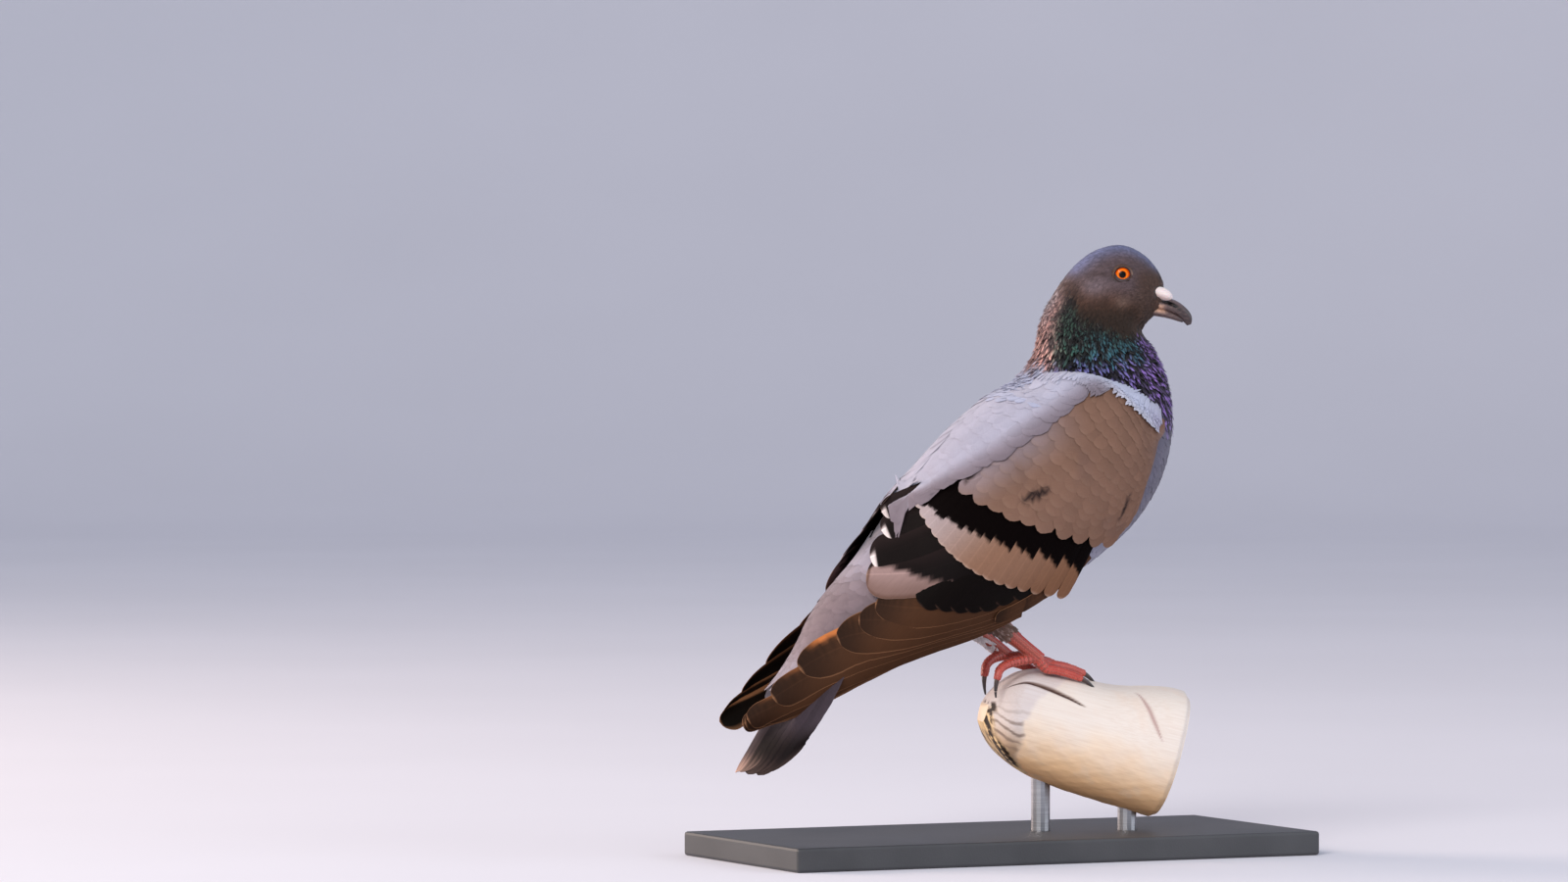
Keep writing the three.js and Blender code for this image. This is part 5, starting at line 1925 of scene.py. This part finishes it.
    def claws(self) -> None:
        """Eight curved claws, round above and pinched below."""
        stock = Stock()
        nodes = []
        run = np.linspace(0, 1, 26)
        for side, name in SIDES:
            for toe, shape in self.toes[name].items():
                path = self.claw_path(self.toe_path(side, toe, *shape), toe == "hind")
                start = path[0] - unit(path[1] - path[0]) * self.claw_start
                radii = mix(*self.claw_radii, (np.arange(6) / 5) ** 1.3) * 1.05
                sheet = TubeSheet(np.concatenate([start[None], path]), radii)
                points = sheet.grid(5 * run, circle(20, 1))
                tint = painted(
                    points, (70, 48, 42),
                    ((150, 116, 98), smooth(0.35, 0.0, run)[:, None]),
                    ((36, 24, 24), smooth(0.3, 0.8, run)[:, None]),
                )
                stock.rings(points[None], tint[None])
                nodes.append(f"claw_{name}_{toe}")
        mount(stock.mesh("claws", self.finishes.claw), "claw_horn", *nodes)


# ---- Face


@dataclass
class Face:
    """Eyes with their lids, the cere and the two halves of the bill."""

    finishes: Finishes
    sheet: BodySheet = field(default_factory=BodySheet)
    eye: tuple = (54.05, 7.1, 245.0)
    eye_radius: float = 5.2
    pupil: float = 1.5
    cere_axes: tuple = (5.3, 3.6, 2.6)
    cere_place: tuple = (70.8, 2.5, 237.0)
    cere_lean: float = 22.0
    ring_height: float = 10.6
    # Section of the eye ring: distance from the eye's middle, and height over the head's side.
    section: tuple = (
        (2.95, 1.0), (3.1, 1.5), (3.26, 1.8), (3.42, 1.84), (3.58, 1.6), (3.72, 1.36),
        (3.88, 1.4), (4.02, 1.3), (4.2, 1.0), (4.5, 0.6), (4.9, 0.15), (5.1, -0.4),
        (4.8, -1.0), (4.0, -1.0), (3.2, -0.6), (2.9, 0.2),
    )
    upper: tuple = (
        (64, 234, 4.2, 2.6), (70, 232.9, 4.1, 2.6), (75, 231.7, 3.5, 2.9),
        (79, 229.4, 2.6, 2.55), (81.4, 226.6, 1.4, 2.2), (82.3, 223.9, 0.35, 0.9),
    )
    lower: tuple = (
        (63, 230, 3.9, 1.9), (69, 229.3, 3.6, 1.9), (74, 228.1, 2.9, 1.6),
        (78, 226.4, 1.9, 1.1), (79.8, 225.4, 0.9, 0.6),
    )

    def eyes(self) -> None:
        """Eyeballs: a sphere with its pole outwards, painted in rings round the pupil."""
        for side, name in SIDES:
            p, a = crossed(np.linspace(0.01, math.pi - 0.01, 64), circle(96))
            sphere = np.stack([np.sin(p) * np.cos(a), np.cos(p) * side, np.sin(p) * np.sin(a) * side], -1)
            points = np.array(self.eye) * (1, side, 1) + sphere * self.eye_radius
            ring = np.sin(p) * self.eye_radius
            tint = painted(
                points, (250, 98, 0),
                ((255, 140, 8), bell(ring, 1.95, 0.4) * 0.7),
                ((206, 48, 8), smooth(2.5, 3.2, ring)),
                ((40, 18, 12), smooth(3.15, 3.5, ring)),
                ((3, 2, 2), smooth(self.pupil + 0.12, self.pupil - 0.08, ring)),
                ((30, 18, 14), p > math.pi / 2),
            )
            stock = Stock()
            stock.rings(turned(points)[None], tint[None])
            mount(stock.mesh(f"eye_{name}", self.finishes.eye), "eye", f"eye_{name}")

    def lids(self) -> None:
        """Lids and bare eye rings.

        A closed band round the eye. Its section goes from the eyeball over the lid's roll and
        two wrinkles out under the feathers, and back underneath.
        """
        stock = Stock()
        fine = through_rows((*self.section, self.section[0]), np.linspace(0, len(self.section), 65)[:-1])
        _, a = crossed(fine[:, 0], circle(120))
        radius, lift = (np.broadcast_to(fine[:, i:i + 1], a.shape) for i in (0, 1))
        out = smooth(3.0, 5.0, radius)
        radius = radius * (1 + 0.05 * np.cos(2 * a) + 0.012 * np.sin(9 * a) * out)
        wrinkles = np.sin(26 * a + radius * 3)
        lift = lift + 0.09 * wrinkles * bell(radius, 4.4, 0.7)
        # The head's side falls away from the eye: less to the front, more above.
        x, z = radius * np.cos(a), radius * np.sin(a)
        fall = 0.020 * x**2 + 0.030 * z**2 + 0.07 * x + 0.05 * z
        y = self.ring_height + lift - fall * out
        for side, _ in SIDES:
            points = np.stack([self.eye[0] + x, side * y, self.eye[2] + z], -1)
            tint = painted(
                points, (84, 58, 45),
                ((44, 24, 19), smooth(3.72, 3.5, radius)),
                ((68, 47, 37), (0.5 + 0.5 * wrinkles) * 0.5),
                ((150, 124, 108), bell(a, 0, 0.5) * bell(radius, 4.1, 0.5) * 0.8),
            )
            self.band(stock, turned(points), tint, side)
        mount(stock.mesh("eyelids", self.finishes.lid), "head_feathers")

    @staticmethod
    def band(stock: Stock, points: Array, tint: Array, side: int) -> None:
        """Adds a ring-shaped solid: both of its directions close on themselves.

        Args:
            stock: where it is gathered.
            points: section x turn x 3.
            tint: its colours.
            side: -1 on the right, where the section's order turns round.
        """
        rows, turns = points.shape[:2]
        quads = patches(rows, turns, rows)
        stock.corners.append(quads[..., ::-side].ravel() + stock.count)
        stock.sizes.append(np.full(rows * turns, 4))
        stock.points.append(points.reshape(-1, 3))
        stock.tints.append(tint.reshape(-1, 3))
        stock.vanes.append(np.zeros((rows * turns, 3)))
        stock.count += rows * turns

    def horn(self, rows: tuple, upper: bool) -> tuple[Array, Array]:
        """One half of the bill: ovals along a curved path.

        The upper half has a ridge above, a pressed slit for the nostril and a sharp cutting
        edge; the lower half has a flat top.

        Args:
            rows: place, half width and half height along it.
            upper: whether it is the upper half.

        Returns:
            Points and colours.
        """
        x, a = crossed(np.linspace(0, len(rows) - 1, 90), circle(64))
        row = through_rows(rows, x)
        ahead = unit(through_rows(rows, x + 0.05)[..., :2] - through_rows(rows, x - 0.05)[..., :2])
        up = np.stack([-ahead[..., 1], ahead[..., 0]], -1)
        cos, sin = np.cos(a), np.sin(a)
        wide = row[..., 2] * np.sign(cos) * np.abs(cos) ** 0.9
        tall = row[..., 3] * np.sign(sin) * np.abs(sin) ** (0.95 if upper else 0.8)
        press = np.zeros_like(wide)
        if upper:
            press = 1.5 * bell(row[..., 0], 73.8, 3.2) * bell(sin, 0.3 - 0.03 * (row[..., 0] - 73.4), 0.2)
            wide = wide * (1 + 0.08 * smooth(-0.2, -0.8, sin))
        wide = wide - np.sign(cos) * press
        plane = row[..., :2] + up * tall[..., None]
        points = np.stack([plane[..., 0], -wide, plane[..., 1]], -1)
        gape = smooth(0.1, -0.25, sin) if upper else smooth(-0.3, 0.2, sin)
        gape = gape * smooth(73.6, 70.6, row[..., 0])
        streak = smooth(0.15, 0.7, ripple(points * (0.35, 1, 1.6), 2.0, 6)) * (1 - gape)
        edge = bell(sin, -0.75 if upper else 0.75, 0.3)
        # Painted highlight: the bluish grey along the top. Painted shade: the near black in the nostril's
        # pressed slit.
        colour = painted(
            points, (88, 68, 66),
            ((56, 42, 44), smooth(75, 81, row[..., 0])),
            ((112, 98, 106), 0.6 * smooth(0.5, 0.9, sin) * smooth(82, 76, row[..., 0])),
            ((186, 146, 124), gape),
            ((10, 6, 7), np.clip(2.0 * press, 0, 1)),
            ((150, 124, 112), 0.45 * streak * smooth(0.75, 0.2, sin)),
            ((60, 44, 42), 0.5 * edge * smooth(73, 76, row[..., 0])),
        )
        return turned(points), colour * (1 + 0.1 * ripple(points, 2.4, 3))[..., None]

    def bill(self) -> None:
        """Both halves of the bill."""
        for rows, name, upper in ((self.upper, "bill_upper", True), (self.lower, "bill_lower", False)):
            points, colour = self.horn(rows, upper)
            stock = Stock()
            stock.rings(points[None], colour[None])
            mount(stock.mesh(f"{name}_horn", self.finishes.horn), "bill_horn", name)

    def cere(self) -> None:
        """Two soft lobes over the nostrils: ovals, fuller behind, with a low rim in front."""
        stock = Stock()
        lean = math.radians(self.cere_lean)
        p, a = crossed(np.linspace(0.03, math.pi - 0.03, 48), circle(64))
        ball = np.stack([-np.cos(p), np.sin(p) * np.cos(a), np.sin(p) * np.sin(a)], -1)
        oval = ball * np.array(self.cere_axes) * (1 - 0.1 * ball[..., :1])
        for side, _ in SIDES:
            x, y, z = np.moveaxis(oval * (1 + 0.03 * ripple(oval + side * 7, 3.2, 2))[..., None], -1, 0)
            x, z = x * math.cos(lean) + z * math.sin(lean), -x * math.sin(lean) + z * math.cos(lean)
            points = np.stack([x, y, z], -1) + np.array(self.cere_place) * (1, side, 1)
            tint = painted(points, (232, 216, 214), ((206, 176, 168), smooth(0.2, -0.8, ball[..., 2]) * 0.8))
            stock.rings(turned(points)[None], tint[None])
        mount(stock.mesh("cere_lobes", self.finishes.cere), "cere", "cere")


# ---- Skin under the coat


@dataclass
class Skin:
    """The flesh as one closed surface: body, wing pads and thighs joined by a fine remesh."""

    finishes: Finishes
    voxel: float = 1.15
    foot_voxel: float = 0.34
    foot_inset: float = 0.12
    thigh_inset: float = 1.3
    relax: int = 3
    dim: float = 0.8
    block: int = 4000

    def shells(self, feet: Feet) -> Stock:
        """The solids that are joined, each set in by the depth of its coat."""
        stock = Stock()
        x = np.linspace(0, 17, 240)
        depth = mix(0.4, 1.35, smooth(5.5, 8, x))[:, None, None]
        stock.rings(BodySheet().grid(x, circle(128, 1), depth)[None, :, ::-1])
        for side, _ in SIDES:
            wing = WingSheet(side)
            x = np.linspace(0.12, 4.4, 90)
            inset = mix(0.5, 2.4, smooth(2.3, 3.4, x))
            under = inset + 0.6 * wing.thickness(x)
            outer, inner = (
                wing.grid(x, np.linspace(0.04, 0.96, 40), deep[:, None, None]) for deep in (inset, under)
            )
            stock.rings(np.concatenate([outer, inner[:, ::-1]], 1)[None, :, ::-side])
            thigh = feet.thigh(side, self.thigh_inset)
            stock.rings(thigh.grid(np.linspace(0, 3, 40), circle(40, 1))[None])
        return stock

    def join(
        self, stock: Stock, name: str, voxel: float, material: Material, samples: list
    ) -> bpy.types.Object:
        """Joins overlapping solids into one surface and paints it like the coat over it.

        Args:
            stock: the solids.
            name: the piece's name.
            voxel: the remesh's cell, in mm.
            material: the finish.
            samples: places and colours of the coat.

        Returns:
            The finished object.
        """
        piece = stock.mesh(name, material)
        remesh = piece.modifiers.new("join", "REMESH")
        remesh.mode = "VOXEL"
        remesh.voxel_size = voxel * METRE
        relax = piece.modifiers.new("relax", "SMOOTH")
        relax.iterations = self.relax
        evaluated = piece.evaluated_get(bpy.context.evaluated_depsgraph_get())
        mesh = bpy.data.meshes.new_from_object(evaluated)
        piece.modifiers.clear()
        old, piece.data = piece.data, mesh
        bpy.data.meshes.remove(old)
        mesh.name = name
        mesh.materials.clear()
        mesh.materials.append(material)
        for attribute in [a for a in mesh.attributes if a.name in ("Tint", "Vane")]:
            mesh.attributes.remove(attribute)
        places = np.empty(len(mesh.vertices) * 3, np.float32)
        mesh.vertices.foreach_get("co", places)
        places = places.reshape(-1, 3) / METRE + (0, 0, FLOOR)
        set_tint(mesh, self.nearest(places, samples) * self.dim)
        mesh.polygons.foreach_set("use_smooth", np.ones(len(mesh.polygons), bool))
        LOG.info("%s: %d faces after joining", name, len(mesh.polygons))
        return piece

    def nearest(self, places: Array, samples: list) -> Array:
        """The colour of the nearest sample for each place, worked out in blocks."""
        where = np.concatenate([s[0] for s in samples]).astype(np.float32)
        colour = np.concatenate([s[1] for s in samples])
        square = (where**2).sum(1)
        blocks = np.array_split(places.astype(np.float32), max(1, len(places) // self.block))
        return colour[np.concatenate([(square - 2 * block @ where.T).argmin(1) for block in blocks])]

    def build(self, feet: Feet, samples: list) -> None:
        """The bird's skin."""
        piece = self.join(self.shells(feet), "skin", self.voxel, self.finishes.flesh, samples)
        mount(piece, "body_feathers", "head", "neck", "trunk", "rump", "thigh_right", "thigh_left")

    def build_feet(self, feet: Feet) -> None:
        """The bare feet's skin: shanks and toes joined."""
        stock = Stock()
        nodes, where = [], []
        for sheet, node in feet.limbs():
            points = sheet.grid(np.linspace(0, len(sheet.path) - 1, 50), circle(32, 1), self.foot_inset)
            stock.rings(points[None])
            nodes.append(node)
            where.append(points.reshape(-1, 3)[::40])
        where = np.concatenate(where)
        samples = [(where, painted(where, (190, 84, 66)))]
        piece = self.join(stock, "foot_skin", self.foot_voxel, self.finishes.leg, samples)
        mount(piece, "leg_skin", *nodes)


# ---- Stand, studio and camera


@dataclass
class Stand:
    """Base and rods: the CAD nodes keep their shape and get their finish."""

    finishes: Finishes

    def dress(self) -> None:
        """Puts the finishes on."""
        paint, steel = self.finishes.paint, self.finishes.steel
        for name, material in (("stand_base", paint), ("stand_rod_back", steel), ("stand_rod_front", steel)):
            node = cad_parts[name]
            node = bpy.data.objects[node] if isinstance(node, str) else node
            node.data.materials.clear()
            node.data.materials.append(material)
            LOG.info("%s: finish %s", name, material.name)


@dataclass
class Studio:
    """Floor and wall in one sweep, soft lights, and the camera."""

    finishes: Finishes
    aim: tuple = (-0.100, 0.0, 0.1735)
    distance: float = 3.65
    lens: float = 204.0
    azimuth: float = -25.0
    elevation: float = 1.5
    lit: tuple = (-0.02, 0, 0.15)
    # Name, place, side, power and colour of each soft light.
    lamps: tuple = (
        ("key", (-2.2, -2.0, 1.7), 1.5, 76.0, (1.0, 0.95, 0.9)),
        ("fill", (1.9, -1.9, 0.9), 1.8, 24.0, (0.88, 0.93, 1.0)),
        ("rim", (-1.6, 1.5, 0.7), 1.0, 44.0, (1.0, 0.8, 0.66)),
    )
    # The sweep: where it starts, where it bends up, over what radius, how high and how far to each side.
    floor: tuple = (-6.0, 3.7, 1.6, 5.5, 9.0)
    air: tuple = (214, 222, 236)
    air_strength: float = 0.72

    def camera(self) -> None:
        """A long lens, level with the bird, from behind its right side."""
        data = bpy.data.cameras.new("camera")
        data.lens, data.sensor_width = self.lens, 36.0
        data.clip_start, data.clip_end = 0.1, 60.0
        turn, rise = math.radians(-self.azimuth), math.radians(self.elevation)
        look = Vector((math.sin(turn) * math.cos(rise), math.cos(turn) * math.cos(rise), -math.sin(rise)))
        camera = bpy.data.objects.new("camera", data)
        camera.location = Vector(self.aim) - look * self.distance
        camera.rotation_euler = (math.radians(90 - self.elevation), 0, math.radians(self.azimuth))
        bpy.context.scene.collection.objects.link(camera)
        bpy.context.scene.camera = camera

    def sweep(self) -> None:
        """The floor curves up into a wall: a straight run, a quarter circle and a straight rise."""
        near, far, bend, high, wide = self.floor
        arc = np.linspace(0, math.pi / 2, 24)
        depth = np.concatenate([[near], far + bend * np.sin(arc), [far + bend]])
        height = np.concatenate([[0.0], bend * (1 - np.cos(arc)), [high]])
        across = np.linspace(-wide, wide, 9)
        turn = math.radians(self.azimuth)
        cos, sin = math.cos(turn), math.sin(turn)
        y, x = crossed(depth, across)
        z = np.broadcast_to(height[:, None], y.shape)
        points = np.stack([x * cos - y * sin, x * sin + y * cos, z], -1)
        rows, columns = points.shape[:2]
        faces = patches(rows - 1, columns, rows)[:, :-1].reshape(-1, 4)[:, ::-1]
        mesh = bpy.data.meshes.new("studio_sweep")
        mesh.from_pydata(points.reshape(-1, 3).tolist(), [], faces.tolist())
        mesh.polygons.foreach_set("use_smooth", np.ones(len(faces), bool))
        mesh.materials.append(self.finishes.studio)
        sweep = bpy.data.objects.new("studio_sweep", mesh)
        bpy.context.scene.collection.objects.link(sweep)

    def light(self, name: str, place: tuple, size: float, power: float, colour: tuple) -> None:
        """A square soft light turned to the bird.

        Args:
            name: its name.
            place: where it stands, in metres.
            size: its side.
            power: its power in watts.
            colour: its colour.
        """
        data = bpy.data.lights.new(name, "AREA")
        data.size, data.energy, data.color = size, power, colour
        lamp = bpy.data.objects.new(name, data)
        lamp.location = place
        lamp.rotation_euler = (Vector(self.lit) - lamp.location).to_track_quat("-Z", "Y").to_euler()
        bpy.context.scene.collection.objects.link(lamp)

    def build(self) -> None:
        """Sets everything round the bird."""
        self.camera()
        self.sweep()
        for lamp in self.lamps:
            self.light(*lamp)
        world = bpy.data.worlds.new("studio_air")
        world.use_nodes = True
        sky = world.node_tree.nodes["Background"]
        sky.inputs["Color"].default_value = linear(self.air)
        sky.inputs["Strength"].default_value = self.air_strength
        scene = bpy.context.scene
        scene.world = world
        scene.view_settings.view_transform = "Standard"


def main() -> None:
    """Builds the bird, its branch and its stand, and the studio."""
    logging.basicConfig(level=logging.INFO, format="%(message)s")
    finishes = Finishes()
    Studio(finishes).build()
    branch = Branch(finishes)
    branch.build()
    plumage = Plumage(finishes)
    plumage.head()
    plumage.neck()
    plumage.body()
    shoulders = Shoulders(finishes)
    shoulders.build()
    for side, name in SIDES:
        WingCoat(finishes, side, name).build()
    TailFan(finishes).build()
    feet = Feet(finishes, branch)
    feet.shins()
    feet.scales()
    feet.claws()
    face = Face(finishes)
    face.eyes()
    face.lids()
    face.bill()
    face.cere()
    skin = Skin(finishes)
    skin.build(feet, plumage.samples + shoulders.samples + feet.samples)
    skin.build_feet(feet)
    Stand(finishes).dress()


if __name__ == "__main__":
    main()
